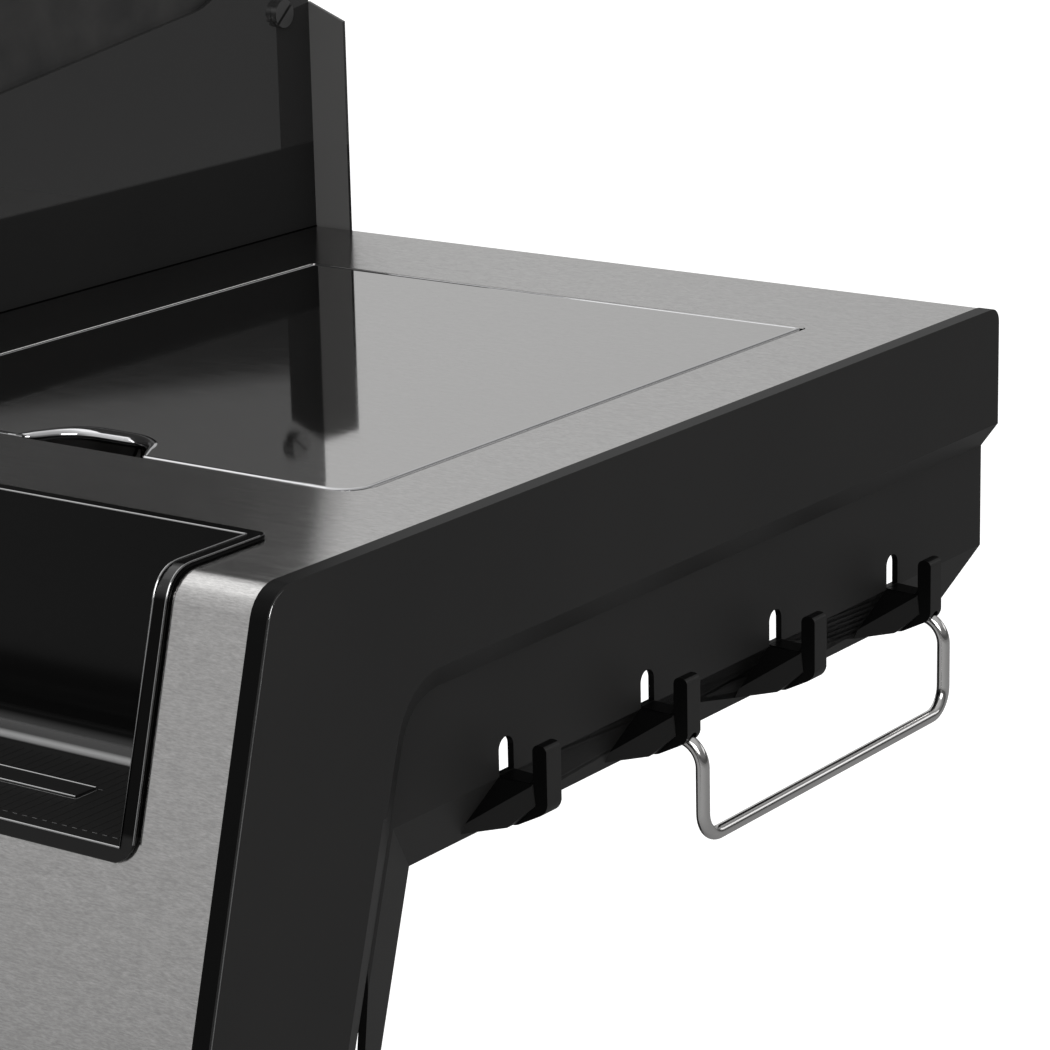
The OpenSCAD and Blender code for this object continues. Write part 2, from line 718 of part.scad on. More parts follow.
module firebox() color(dark) at_shelf() difference() {
    union() {
        along_x(-box_in_x, box_in_x) strip(box_rear_path, box_t);
        along_x(-box_in_x, box_in_x) strip(box_front_path, -box_t);
        for (x = [-box_in_x, box_in_x - box_t])
            along_x(x, x + box_t) polygon(concat(bent(box_rear_path), reversed(bent(slice_front()))));
        for (x = [-box_x + panel_t, box_in_x - join], y = [-box_back - 40, -box_front + 10])
            span([x, y, -wall_drop], [x + box_x - panel_t - box_in_x + join, y + 30, -wall_drop + 30]);
        for (top = [grate_h - grate_deep, -tamer_drop - tamer_foot]) {
            span([-box_in_x + join, -box_front - join, top - 3],
                [box_in_x - join, -box_front + ledge_w, top]);
            span([-box_in_x + join, -box_back - ledge_w, top - 3], [box_in_x - join, -box_back + join, top]);
        }
    }
    for (i = [-1:1])
        translate([i * burner_pitch, 0, -burner_drop])
            rod_y(-box_front - 5, -box_front + 5, burner_d / 2 + gap);
}

function slice_front() = [for (i = [1:len(box_front_path) - 1]) box_front_path[i]];

// Burners, flame tamers, cooking grates and warming rack
burner_rear = -box_back;
ledge_w = 12;
grate_deep = 14;
tamer_foot = 4;

// A burner tube with a collar in front, a tongue behind and ports along both sides
tube_t = 1.2;
tube_front = -box_front - 16;
tube_rear = burner_rear - 24;
tongue_half = 4;
tube_port_r = 1.5;
tube_port_in = 40;
tube_port_step = 20;

module burners() color(steel) at_shelf() for (i = [-1:1]) translate([i * burner_pitch, 0, -burner_drop])
    difference() {
        union() {
            rod_y(tube_front + 6, tube_rear, burner_d / 2);
            rod_y(tube_front, tube_front + 8, burner_d / 2 + 2);
            span([-tongue_half, tube_rear - 2, -9], [tongue_half, burner_rear, 3]);
        }
        rod_y(tube_front - over, tube_rear - 2, burner_d / 2 - tube_t);
        for (y = [-box_front + tube_port_in:tube_port_step:burner_rear - tube_port_in])
            translate([0, y, 3]) rod_x(-burner_d, burner_d, tube_port_r);
    }

tamer_t = 1.5;

module flame_tamers() color(steel) at_shelf() for (i = [-1:1]) translate([i * burner_pitch, 0, 0]) {
    along_y(-box_front + 1, burner_rear - 1) strip([[tamer_w / 2, -tamer_drop, 0],
        [0, -tamer_drop + tamer_w * 0.45, 4], [-tamer_w / 2, -tamer_drop, 0]], tamer_t);
    for (y = [-box_front + 1, burner_rear - 9])
        span([-tamer_w / 2 - 5, y, -tamer_drop - tamer_foot], [tamer_w / 2 + 5, y + 8, -tamer_drop + 1]);
}

grate_gap = 1.5;
grate_len = box_front - box_back - 2 * grate_gap;
grate_half = box_in_x - box_t - 1.5 * grate_gap;

// One cooking grate from its left end. Its long bars run front to back.
module cooking_grate() {
    y0 = -box_front + grate_gap;
    for (y = [y0, y0 + grate_len / 2, y0 + grate_len - bar_t])
        span([0, y, grate_h - grate_deep], [grate_half, y + bar_t, grate_h - 3]);
    for (i = [0:bar_count - 1]) {
        x = (grate_half - bar_t) * i / (bar_count - 1);
        span([x, y0, grate_h - 12], [x + bar_t, y0 + grate_len, grate_h]);
    }
}

module cooking_grate_left() color(black) at_shelf() translate([-grate_gap / 2 - grate_half, 0, 0])
    cooking_grate();
module cooking_grate_right() color(black) at_shelf() translate([grate_gap / 2, 0, 0]) cooking_grate();

rack_back = -pivot_back - 46;
rack_d = 150;
rack_leg_x = box_in_x - box_t - 7;
rack_foot = grate_h + 22;
rack_r = 4;
rack_bar_r = 2.5;
rack_bars = 10;
rack_tab_in = 40;
rack_tab = 8;

module warming_rack() color(steel) at_shelf() {
    for (side = [-1, 1]) translate([side * rack_leg_x, 0, 0]) {
        for (y = [rack_back, rack_back - rack_d]) {
            translate([0, y, 0]) rod_z(rack_foot, rack_h, rack_r);
            translate([0, y, rack_h]) sphere(rack_r);
            translate([0, y, rack_foot]) sphere(rack_r);
        }
        for (z = [rack_foot, rack_h])
            translate([0, 0, z]) rod_y(rack_back - rack_d, rack_back, rack_r);
        rotate([0, 0, side < 0 ? 180 : 0])
            for (y = [rack_back - rack_tab_in, rack_back - rack_d + rack_tab_in])
                span([0, side * y - rack_tab, rack_foot - 3],
                    [box_in_x - box_t - rack_leg_x, side * y + rack_tab, rack_foot + 3]);
    }
    for (i = [0:rack_bars])
        translate([0, rack_back - rack_d * i / rack_bars, rack_h]) rod_x(-rack_leg_x, rack_leg_x, rack_bar_r);
}

// Hood
hood_front = -box_front - 25;
hood_low = rim_h + 2 * gap;
hood_path = [[-8, pivot_h + 12, 0], [-8, hood_h - 92, 45], [-95, hood_h, 60],
    [hood_brow - box_front, hood_h, 110], [-box_front, hood_h - 138, 90], [hood_front, hood_low, 0]];
hood_end_x = box_x - panel_t - gap;
hood_in_x = hood_end_x - hood_end_t;
face_top = hood_path[4];
face_low = hood_path[5];
face_lean = atan2(face_top.x - face_low.x, face_top.y - face_low.y);
handle_h = 122;
gauge_mid = (flat(hood_path[3]) + flat(hood_path[4])) / 2;
gauge_lean = atan2(hood_path[3].x - hood_path[4].x, hood_path[3].y - hood_path[4].y);

// Frame on the hood's lower front face: Z out of the face
module at_face(x) at_shelf()
    translate([x, face_low.x + (handle_h - face_low.y) * tan(face_lean), handle_h])
    rotate([90 - face_lean, 0, 0]) children();
// Frame of the thermometer: Z out of the hood
module at_gauge() at_shelf() translate([0, gauge_mid.x, gauge_mid.y])
    rotate([90 - gauge_lean, 0, 0]) children();

module hood_shell() color(steel) difference() {
    at_shelf() {
        along_x(-hood_in_x, hood_in_x) strip(hood_path, hood_t);
        along_x(-hood_in_x, hood_in_x)
            strip([[hood_front + 1, rim_h + gap, 0], [hood_front + 20, rim_h + gap, 0]], hood_t);
    }
    at_gauge() rod_z(-20, 20, neck_r);
}

// Outline of a hood end: the hood's own path, closed below round the hinge
hood_rim = beside(hood_path, -1.5);
hood_end_outline = concat([for (i = [0:4]) hood_rim[i]], [[hood_front + 1, rim_h - 20, 8],
    [-pivot_back - 60, rim_h - 20, 30], [-pivot_back - 16, pivot_h - 12, 10],
    [-pivot_back - 15, pivot_h - 18, 8], [-8 + 1.5, pivot_h - 18, 12]]);

module hood_end() difference() {
    along_x(hood_in_x, hood_end_x) polygon(ring(hood_end_outline));
    translate([0, -pivot_back, pivot_h]) rod_x(hood_in_x - 1, hood_end_x + 1, screw_d / 2 + fit);
}

module hood_end_right() color(dark) at_shelf() hood_end();
module hood_end_left() color(dark) at_shelf() mirror([1, 0, 0]) hood_end();

module hood_handle() color(steel) {
    at_face(0) translate([0, 0, handle_off]) rod_x(-handle_w / 2, handle_w / 2, handle_d / 2);
    for (x = [-handle_w / 2 + handle_in, handle_w / 2 - handle_in]) at_face(x) {
        rod_z(0, post_foot_h, post_r * 2);
        rod_z(0, handle_off, post_r);
    }
}

post_r = 8;
post_foot_h = 5;

// Thermometer: a cup with a wall round the dial, a neck through the hood and a probe
gauge_h = 14;
dial_z = 8;
gauge_wall = 5;
neck_r = 12;
probe_len = 70;
probe_r = 5;
needle_pin_r = 2;
needle_z = 9;

module thermometer() color(steel) at_gauge() difference() {
    union() {
        rod_z(0, gauge_h, gauge_d / 2);
        rod_z(-probe_len, join, probe_r);
        rod_z(-hood_t - 6, join, neck_r - gap);
    }
    rod_z(dial_z, gauge_h + over, gauge_d / 2 - gauge_wall);
    rod_z(2, gauge_h + over, needle_pin_r + fit);
}

module thermometer_needle() color(dark) at_gauge() {
    rod_z(3, needle_z + 2, needle_pin_r);
    rod_z(needle_z - 0.5, needle_z + 2, 4.5);
    rotate([0, 0, 135]) along_z(needle_z, needle_z + 1)
        polygon([[-2.5, -10], [2.5, -10], [0.6, 27], [-0.6, 27]]);
}

// Slotted screws that the hood turns on
module hinge_screws() color(steel) for (side = [-1, 1]) at_end(side)
    translate([0, -pivot_back, pivot_h]) difference() {
        union() {
            rod_x(hood_in_x - box_x - 3, join, screw_d / 2);
            rod_x(0, head_t, screw_head / 2);
            rod_x(hood_in_x - box_x - 5, hood_in_x - box_x - gap, screw_d / 2 + 2.5);
        }
        rotate([slot_turn, 0, 0])
            span([head_t - slot_d, -screw_head, -slot_w / 2], [head_t + over, screw_head, slot_w / 2]);
    }

head_t = 3.5;
slot_d = 1.5;
slot_w = 1.8;
slot_turn = 40;

// Control panel, knobs and gas train
panel_x = box_x - panel_t;
control_top = -box_front - box_t;
control_path = [[control_top, -24, 0], [control_top, 0, 3], [-shelf_d, 0, bend_r],
    [front_y(front_drop), -front_drop, 3], [front_y(front_drop) + front_lip, -front_drop, 0]];
burner_xs = [-burner_pitch, 0, burner_pitch, side_knob_x];
button_x = -side_knob_x;
stem_hole_r = stem_d / 2 + 3;

module control_panel() color(steel) difference() {
    at_shelf() {
        along_x(-panel_x, panel_x) strip(control_path, sheet_t);
        for (x = [-panel_x, panel_x - sheet_t])
            along_x(x, x + sheet_t) polygon([[control_top, -1], [-shelf_d + 6, -1],
                [front_y(front_drop) + 3, 1 - front_drop], [front_y(front_drop) + front_lip, 1 - front_drop],
                [-shelf_d + 12, -24], [control_top, -24]]);
    }
    for (x = burner_xs)
        at_panel(x, knob_drop) rod_z(-5, 5, stem_hole_r);
    at_panel(button_x, knob_drop) rod_z(-5, 5, button_d / 2 + gap);
}

bezel_h = 6;

module knob_bezels() color(steel) {
    for (x = burner_xs)
        at_panel(x, knob_drop) difference() {
            rod_z(0, bezel_h, bezel_d / 2);
            rod_z(1.5, bezel_h + 1, knob_d / 2 + 1);
            rod_z(-1, 3, stem_hole_r);
        }
    at_panel(button_x, knob_drop) difference() {
        rod_z(0, bezel_h, button_d / 2 + 6);
        rod_z(-over, bezel_h + over, button_d / 2 + gap);
    }
}

knob_base = 1.5 + knob_push + 0.5;
stem_top = knob_h - 10;

module knob(x) color(black) at_panel(x, knob_drop) difference() {
    union() {
        rod_z(knob_base, knob_base + 8, knob_d / 2);
        rod_z(knob_base, knob_h - 6, grip_d / 2);
        span([-7, -grip_d / 2 + 2, knob_base + 4], [7, grip_d / 2 - 2, knob_h]);
    }
    rod_z(0, stem_top, stem_d / 2 + fit);
}

valve_top = -8;
stem_low = valve_top - 14;

module stem(x) color("goldenrod") at_panel(x, knob_drop) rod_z(stem_low, stem_top - gap, stem_d / 2);

module knob_left() knob(burner_xs[0]);
module knob_middle() knob(burner_xs[1]);
module knob_right() knob(burner_xs[2]);
module knob_side_burner() knob(burner_xs[3]);
module stem_left() stem(burner_xs[0]);
module stem_middle() stem(burner_xs[1]);
module stem_right() stem(burner_xs[2]);
module stem_side_burner() stem(burner_xs[3]);

module ignition_button() color("crimson") at_panel(button_x, knob_drop) {
    rod_z(-20, bezel_h + button_push + 2, button_d / 2);
    rod_z(-23, -19, button_d / 2 + 2);
}

valve_r = 11;
valve_low = stem_low - knob_push - 6;
manifold_z = valve_low - manifold_d / 2 + 3;
manifold_low = 6;
outlet_r = 4.5;
manifold_end = side_knob_x + 20;

module gas_valves() color("goldenrod") for (x = burner_xs) {
    at_panel(x, knob_drop) difference() {
        union() {
            rod_z(valve_low, valve_top, valve_r);
            rod_z(valve_top - 3, valve_top, valve_r + 3);
        }
        rod_z(stem_low - knob_push - 1, 0, stem_d / 2 + fit);
        translate([0, -manifold_low, manifold_z]) rod_x(-valve_r - 5, valve_r + 5, manifold_d / 2 + gap);
    }
    if (x < side_knob_x)
        at_shelf() translate([x, 0, -burner_drop]) difference() {
            rod_y(valve_out_y, -box_front - 14, outlet_r);
            rod_y(valve_out_y - 1, -box_front, 1.2);
        }
}

// Where the valve outlets start, inside the valve bodies
valve_out_y = front_y(knob_drop) + 30;

manifold_mid = [0, front_y(knob_drop) - manifold_z * cos(front_lean) - manifold_low * sin(front_lean),
    -knob_drop + manifold_z * sin(front_lean) - manifold_low * cos(front_lean)];

clamp_x = side_knob_x - 45;
clamp_w = 20;
pipe_start = manifold_end - 8;
pipe_side = box_x + 24;
feed_r = 4;
inlet_r = 6;

// Manifold with a tube to the side burner on the right, and the gas inlet under the left shelf
module gas_manifold() color(steel) at_shelf() {
    translate(manifold_mid) {
        rod_x(-manifold_end, manifold_end, manifold_d / 2);
        for (x = [-clamp_x, clamp_x])
            span([x - clamp_w / 2, 0, -14], [x + clamp_w / 2, -box_front - box_t - manifold_mid.y, -6]);
    }
    side_pipe(feed_r);
    side_burner_pipe();
    mirror([1, 0, 0]) {
        side_pipe(inlet_r);
        inlet_fitting();
    }
}

// Tube from the manifold's end out through the hole in the side panel
module side_pipe(r) {
    translate([pipe_start, manifold_mid.y, 0]) rod_z(-feed_drop, manifold_mid.z, r);
    translate([pipe_start, 0, -feed_drop]) rod_y(manifold_mid.y, feed_y, r);
    translate([0, feed_y, -feed_drop]) rod_x(pipe_start, pipe_side, r);
    for (p = [[pipe_start, manifold_mid.y], [pipe_start, feed_y], [pipe_side, feed_y]])
        translate([p.x, p.y, -feed_drop]) sphere(r);
}

module side_burner_pipe() {
    end_x = box_x + burner_x;
    translate([pipe_side, 0, -feed_drop]) rod_y(feed_y, burner_y, feed_r);
    translate([0, burner_y, -feed_drop]) rod_x(pipe_side, end_x, feed_r);
    translate([end_x, burner_y, 0]) rod_z(-feed_drop, -bowl_drop - 12, feed_r);
    for (x = [pipe_side, end_x])
        translate([x, burner_y, -feed_drop]) sphere(feed_r);
}

// Fitting that points down, with a collar above its thread
thread_len = 18;
collar_len = 16;

module inlet_fitting() translate([pipe_side, feed_y, -feed_drop - inlet_r]) {
    rod_z(-2 - join, inlet_r, inlet_r);
    rod_z(-2 - collar_len, -2, inlet_d / 2 + 3);
    rod_z(-2 - collar_len - thread_len, -2, inlet_d / 2);
}

// Cart
cart_x = box_x - panel_t;
cart_top = shelf_z - drain_drop - drain_lip - 2;
tongue_top = shelf_z - wall_drop;
floor_z = cart_z + base_h;
wall_t = 1.5;

// A shallow pan from a to b, open at one face: axis 0, 1 or 2, at its low (-1) or high (1) side
module pan(a, b, axis, open) difference() {
    span(a, b);
    span([for (i = [0:2]) a[i] + (i == axis && open < 0 ? -1 : wall_t)],
        [for (i = [0:2]) b[i] - (i == axis && open > 0 ? -1 : wall_t)]);
}

lug_t = 4;
lug_r = 7;
hinge_in = lug_r;
door_back = -cart_front_y - 2;
door_pivot_y = door_back - door_t + lug_r + 1;
door_low = cart_z + lug_t + 2;
door_high = shelf_z - rail_drop - 2;
door_pivot_x = cart_x - hinge_in;

module cart_base() color(dark) placed() difference() {
    union() {
        pan([-cart_x, -cart_front_y, cart_z], [cart_x, -cart_back_y, floor_z], 2, 1);
        for (x = [-door_pivot_x, door_pivot_x])
            translate([x, 0, 0])
                span([-lug_r, door_pivot_y - lug_r, cart_z], [lug_r, -cart_front_y + 1, cart_z + lug_t]);
    }
    for (x = [-door_pivot_x, door_pivot_x])
        translate([x, door_pivot_y, 0]) rod_z(cart_z - 1, cart_z + 10, door_pin_d / 2 + fit);
}

module cart_side() placed() {
    pan([cart_x - cart_t, -cart_front_y, floor_z], [cart_x, -cart_back_y, cart_top], 0, -1);
    span([cart_x - wall_t, -cart_front_y + 20, cart_top - join], [cart_x, -cart_back_y - 20, tongue_top]);
    span([tray_w / 2 - 8, -cart_front_y + 30, runner_z - 2],
        [cart_x - wall_t + join, -cart_back_y - wall_t - 4, runner_z]);
}

module cart_side_right() color(dark) cart_side();
module cart_side_left() color(dark) mirror([1, 0, 0]) cart_side();

back_top = cart_top - 120;

module cart_back() color(dark) placed()
    pan([-cart_x + cart_t, -cart_back_y - cart_t, floor_z], [cart_x - cart_t, -cart_back_y, back_top], 1, -1);

rail_z = shelf_z - rail_drop;
rail_w = 24;

module cart_front_rail() color(dark) placed() difference() {
    union() {
        pan([-cart_x + cart_t, -cart_front_y, rail_z],
            [cart_x - cart_t, -cart_front_y + rail_w, cart_top], 2, -1);
        span([-cart_x, -cart_front_y - wall_t, rail_z + lug_t + 1],
            [cart_x, -cart_front_y, shelf_z - front_drop]);
        for (x = [-door_pivot_x, door_pivot_x])
            translate([x, 0, 0])
                span([-lug_r, door_pivot_y - lug_r, rail_z],
                    [lug_r, -cart_front_y, rail_z + lug_t + 1 + join]);
    }
    for (x = [-door_pivot_x, door_pivot_x])
        translate([x, door_pivot_y, 0]) rod_z(rail_z - 1, rail_z + 10, door_pin_d / 2 + fit);
}

// Doors, drawn on the right
module door() placed() difference() {
    union() {
        pan([door_gap / 2, door_back - door_t, door_low], [cart_x, door_back, door_high], 1, 1);
        translate([door_pivot_x, door_pivot_y, 0]) {
            rod_z(cart_z, door_low + 6, door_pin_d / 2);
            rod_z(cart_z + lug_t + gap, door_low + 1, lug_r - 1);
            rod_z(door_high - 6, rail_z + lug_t, door_pin_d / 2);
            for (z = [door_low, door_high - 8])
                span([-hinge_in, -7, z], [hinge_in, door_back - door_pivot_y, z + 8]);
        }
    }
    for (z = [handle_low, handle_low + door_handle_h - 40])
        translate([door_handle_x, 0, z + 20]) rod_y(door_back - door_t - 1, door_back - door_t + 3, 3);
}

door_handle_x = 34;
handle_low = (door_low + door_high) / 2 - door_handle_h / 2 + 60;
handle_stand = 34;

module door_handle() placed() translate([door_handle_x, door_back - door_t, 0]) {
    translate([0, -handle_stand, 0]) rod_z(handle_low, handle_low + door_handle_h, 7);
    for (z = [handle_low, handle_low + door_handle_h - 40])
        translate([0, 0, z + 20]) {
            rod_y(-handle_stand, 0, 4.5);
            rod_y(-3, 0, 9);
            rod_y(-1, 2.5, 3 - fit);
        }
}

module door_right() color(steel) door();
module door_left() color(steel) mirror([1, 0, 0]) door();
module door_handle_right() color(steel) door_handle();
module door_handle_left() color(steel) mirror([1, 0, 0]) door_handle();

// Casters
caster_x = cart_x - caster_in;
front_caster_y = -cart_front_y + caster_in + 14;
rear_caster_y = -cart_back_y - caster_in - 4;
plate_t = 4;
plate_half = 34;
fork_half = 14;
swivel_z = cart_z - plate_t;
crown_z = swivel_z - 6;
king_d = 12;
fork_in = wheel_w / 2 + 2;
fork_t = 3;
brake_y = trail + 28;
brake_z = crown_z - 14;
brake_r = 3;

// Crown and two cheeks that hold a wheel, with the axle back by off and the cheeks' top back by tail
module fork(off, tail, top) {
    difference() {
        union() {
            rod_z(crown_z - fork_t, top, 22);
            span([-fork_in - fork_t, -fork_half, crown_z - fork_t], [fork_in + fork_t, tail, crown_z]);
            for (x = [-fork_in - fork_t, fork_in])
                along_x(x, x + fork_t) polygon(ring([[-fork_half, crown_z - 1, 0],
                    [off - fork_half, wheel_d / 2 - fork_half, 12],
                    [off + fork_half, wheel_d / 2 - fork_half, 12],
                    [tail, crown_z - 22, 8], [tail, crown_z - 1, 0]]));
        }
        translate([0, off, wheel_d / 2]) rod_x(-fork_in - 10, fork_in + 10, axle_d / 2 + fit);
        translate([0, off, wheel_d / 2]) rod_x(-fork_in, fork_in, wheel_d / 2 + 2);
    }
}

module at_front_caster(side) placed() translate([side * caster_x, front_caster_y, 0]) children();
module at_rear_caster(side) placed() translate([side * caster_x, rear_caster_y, 0]) children();

module caster_mounts() color(steel) for (side = [-1, 1]) {
    at_front_caster(side) difference() {
        span([-plate_half, -plate_half, swivel_z], [plate_half, plate_half, cart_z]);
        rod_z(0, cart_z + over, king_d / 2 + fit);
    }
    at_rear_caster(side) {
        span([-plate_half, -plate_half, swivel_z], [plate_half, plate_half, cart_z]);
        fork(0, 18, swivel_z + join);
    }
}

module caster_fork(side) color(steel) at_front_caster(side) {
    difference() {
        fork(trail, brake_y + 6, swivel_z - gap);
        translate([0, brake_y, brake_z]) rod_x(-fork_in - 10, fork_in + 10, brake_r + fit);
    }
    rod_z(swivel_z - gap - 3, cart_z - gap, king_d / 2);
}

module caster_fork_right() caster_fork(1);
module caster_fork_left() caster_fork(-1);

module wheel() {
    difference() {
        translate([0, 0, wheel_d / 2]) union() {
            rod_x(-wheel_w / 2, wheel_w / 2, wheel_d / 2 - 3);
            rod_x(-wheel_w / 2 + 3, wheel_w / 2 - 3, wheel_d / 2);
            rod_x(-fork_in + 0.5, fork_in - 0.5, 11);
        }
        for (s = [-1, 1])
            translate([s * (wheel_w / 2 - 2), 0, wheel_d / 2]) difference() {
                rod_x(-3, 3, wheel_d / 2 - 9);
                rod_x(-4, 4, 13);
            }
    }
    translate([0, 0, wheel_d / 2]) rod_x(-fork_in - fork_t - 3, fork_in + fork_t + 3, axle_d / 2);
}

module wheel_front_right() color(black) at_front_caster(1) translate([0, trail, 0]) wheel();
module wheel_front_left() color(black) at_front_caster(-1) translate([0, trail, 0]) wheel();
module wheel_rear_right() color(black) at_rear_caster(1) wheel();
module wheel_rear_left() color(black) at_rear_caster(-1) wheel();

module brake(side) color("firebrick") at_front_caster(side) translate([0, brake_y, brake_z]) {
    rod_x(-fork_in - fork_t - 2, fork_in + fork_t + 2, brake_r);
    span([-fork_in + 1, -2, -brake_r], [fork_in - 1, 26, brake_r - 0.5]);
}

module brake_right() brake(1);
module brake_left() brake(-1);

// Grease tray and cup
runner_z = shelf_z - drain_drop - drain_lip - 1 - tray_h;
tray_top = -drain_drop - drain_lip - 1;
tray_low = tray_top - tray_h;
tray_back = -box_back - 4;
tray_front = -box_front + 30;
cup_x = cup_w / 2;
cup_y = -box_mid;
tray_hole_r = 24;

module grease_tray() color(steel) at_shelf() {
    difference() {
        span([-tray_w / 2, tray_front, tray_low], [tray_w / 2, tray_back, tray_top]);
        span([-tray_w / 2 + wall_t, tray_front + wall_t, tray_low + wall_t],
            [tray_w / 2 - wall_t, tray_back - wall_t, tray_top + 1]);
        translate([0, cup_y, 0]) rod_z(tray_low - over, tray_top, tray_hole_r);
    }
    for (a = [0, 180])
        translate([0, cup_y, 0]) rotate([0, 0, a]) {
            span([rail_in, -cup_x - 4, rail_low], [rail_in + rail_t, cup_x + 4, tray_low + join]);
            span([rail_in - ledge, -cup_x - 4, rail_low], [rail_in + join, cup_x + 4, rail_low + 2]);
        }
}

rail_in = cup_w / 2 + 1;
rail_t = 3;
rail_low = tray_low - 12;
ledge = 7;

module grease_cup() color(steel) at_shelf() translate([0, cup_y, rail_low + 2]) difference() {
    union() {
        span([-cup_x, -cup_x, 0], [cup_x, cup_x, 2]);
        span([ledge - cup_x, -cup_x, 2 - cup_h], [cup_x - ledge, cup_x, 2]);
    }
    span([ledge - cup_x + wall_t, -cup_x + wall_t, 2 - cup_h + wall_t],
        [cup_x - ledge - wall_t, cup_x - wall_t, 3]);
}

shelf_right();
end_cap_right();
towel_bar_right();
bin_right();
side_burner_bowl();
side_burner();
side_burner_grate();
side_burner_lid();
shelf_left();
end_cap_left();
towel_bar_left();
bin_left();
firebox();
firebox_panel_left();
firebox_panel_right();
burners();
flame_tamers();
cooking_grate_left();
cooking_grate_right();
warming_rack();
control_panel();
knob_bezels();
gas_manifold();
gas_valves();
knob_left();
knob_middle();
knob_right();
knob_side_burner();
stem_left();
stem_middle();
stem_right();
stem_side_burner();
ignition_button();
hood_shell();
hood_end_left();
hood_end_right();
hood_handle();
thermometer();
thermometer_needle();
hinge_screws();
cart_base();
cart_side_left();
cart_side_right();
cart_back();
cart_front_rail();
door_left();
door_right();
door_handle_left();
door_handle_right();
caster_mounts();
caster_fork_left();
caster_fork_right();
wheel_front_left();
wheel_front_right();
wheel_rear_left();
wheel_rear_right();
brake_left();
brake_right();
grease_tray();
grease_cup();
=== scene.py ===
# Looks of the gas grill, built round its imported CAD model. Metres, Z up, front towards -Y.
import math

import bmesh
import bpy
from mathutils import Matrix, Quaternion, Vector


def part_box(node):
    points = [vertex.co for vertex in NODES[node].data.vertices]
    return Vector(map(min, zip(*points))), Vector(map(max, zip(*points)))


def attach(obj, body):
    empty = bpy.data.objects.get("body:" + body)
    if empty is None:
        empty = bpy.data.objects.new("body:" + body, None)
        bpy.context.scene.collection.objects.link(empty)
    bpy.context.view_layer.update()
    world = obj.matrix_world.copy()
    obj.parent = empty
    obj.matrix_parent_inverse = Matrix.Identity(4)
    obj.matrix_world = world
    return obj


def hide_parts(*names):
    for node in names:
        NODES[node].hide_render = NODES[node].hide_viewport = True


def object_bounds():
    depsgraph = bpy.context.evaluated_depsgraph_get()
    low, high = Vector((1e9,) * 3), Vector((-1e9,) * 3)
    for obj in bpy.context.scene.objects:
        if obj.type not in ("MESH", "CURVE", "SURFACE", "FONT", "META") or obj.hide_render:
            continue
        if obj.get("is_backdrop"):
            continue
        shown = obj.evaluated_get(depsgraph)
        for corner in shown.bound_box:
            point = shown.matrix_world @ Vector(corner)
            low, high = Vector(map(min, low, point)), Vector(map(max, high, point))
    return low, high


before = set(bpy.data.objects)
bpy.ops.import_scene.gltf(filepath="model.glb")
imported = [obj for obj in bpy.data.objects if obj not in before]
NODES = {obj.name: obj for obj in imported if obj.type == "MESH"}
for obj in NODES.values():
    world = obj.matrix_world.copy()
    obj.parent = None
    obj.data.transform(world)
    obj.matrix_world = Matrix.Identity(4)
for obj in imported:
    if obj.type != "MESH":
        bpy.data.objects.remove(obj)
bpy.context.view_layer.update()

MM = 0.001
LEAN = math.radians(15.75)
PANEL_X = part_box("firebox_panel_right")[0].x + 3 * MM
REAR_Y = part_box("shelf_right")[1].y
SHELF_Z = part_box("shelf_right")[1].z
SHELF_D = 542.5


# Places

def end_point(side, x, y, z):
    """A point of one end in mm: x out from the firebox panel, y from the rear edge, z from the shelf top."""
    return Vector((side * (PANEL_X + x * MM), REAR_Y + y * MM, SHELF_Z + z * MM))


def mid_point(x, y, z):
    """A point in mm: x from the middle, y from the shelves' rear edge, z from their top."""
    return Vector((x * MM, REAR_Y + y * MM, SHELF_Z + z * MM))


def panel_frame(x, drop):
    """The frame on the control panel at a drop below the shelves, with its Z out of the face."""
    y = -SHELF_D - drop * math.tan(LEAN)
    return Matrix.Translation(mid_point(x, y, -drop)) @ Matrix.Rotation(math.pi / 2 - LEAN, 4, "X")


# Camera

CAMERA_TURN = [math.radians(angle) for angle in (35.93, 15.75, -1.31)]
CAMERA_AT = (1271.6, -1571.8, 400.7)
SENSOR_W = 36
FOCAL = 132.07


def place_camera():
    """Puts the camera where the photo's straight edges say that it stood."""
    yaw, pitch, roll = CAMERA_TURN
    forward = Vector((-math.sin(yaw) * math.cos(pitch), math.cos(yaw) * math.cos(pitch), -math.sin(pitch)))
    level = Vector((math.cos(yaw), math.sin(yaw), 0))
    upright = level.cross(forward)
    right = level * math.cos(roll) + upright * math.sin(roll)
    up = upright * math.cos(roll) - level * math.sin(roll)
    camera = bpy.data.objects.new("camera", bpy.data.cameras.new("camera"))
    bpy.context.scene.collection.objects.link(camera)
    pose = Matrix((right, up, -forward)).transposed().to_4x4()
    pose.translation = end_point(1, *CAMERA_AT)
    camera.matrix_world = pose
    camera.data.sensor_width = SENSOR_W
    camera.data.lens = FOCAL
    camera.data.clip_start = 0.05
    bpy.context.scene.camera = camera


place_camera()


# Materials

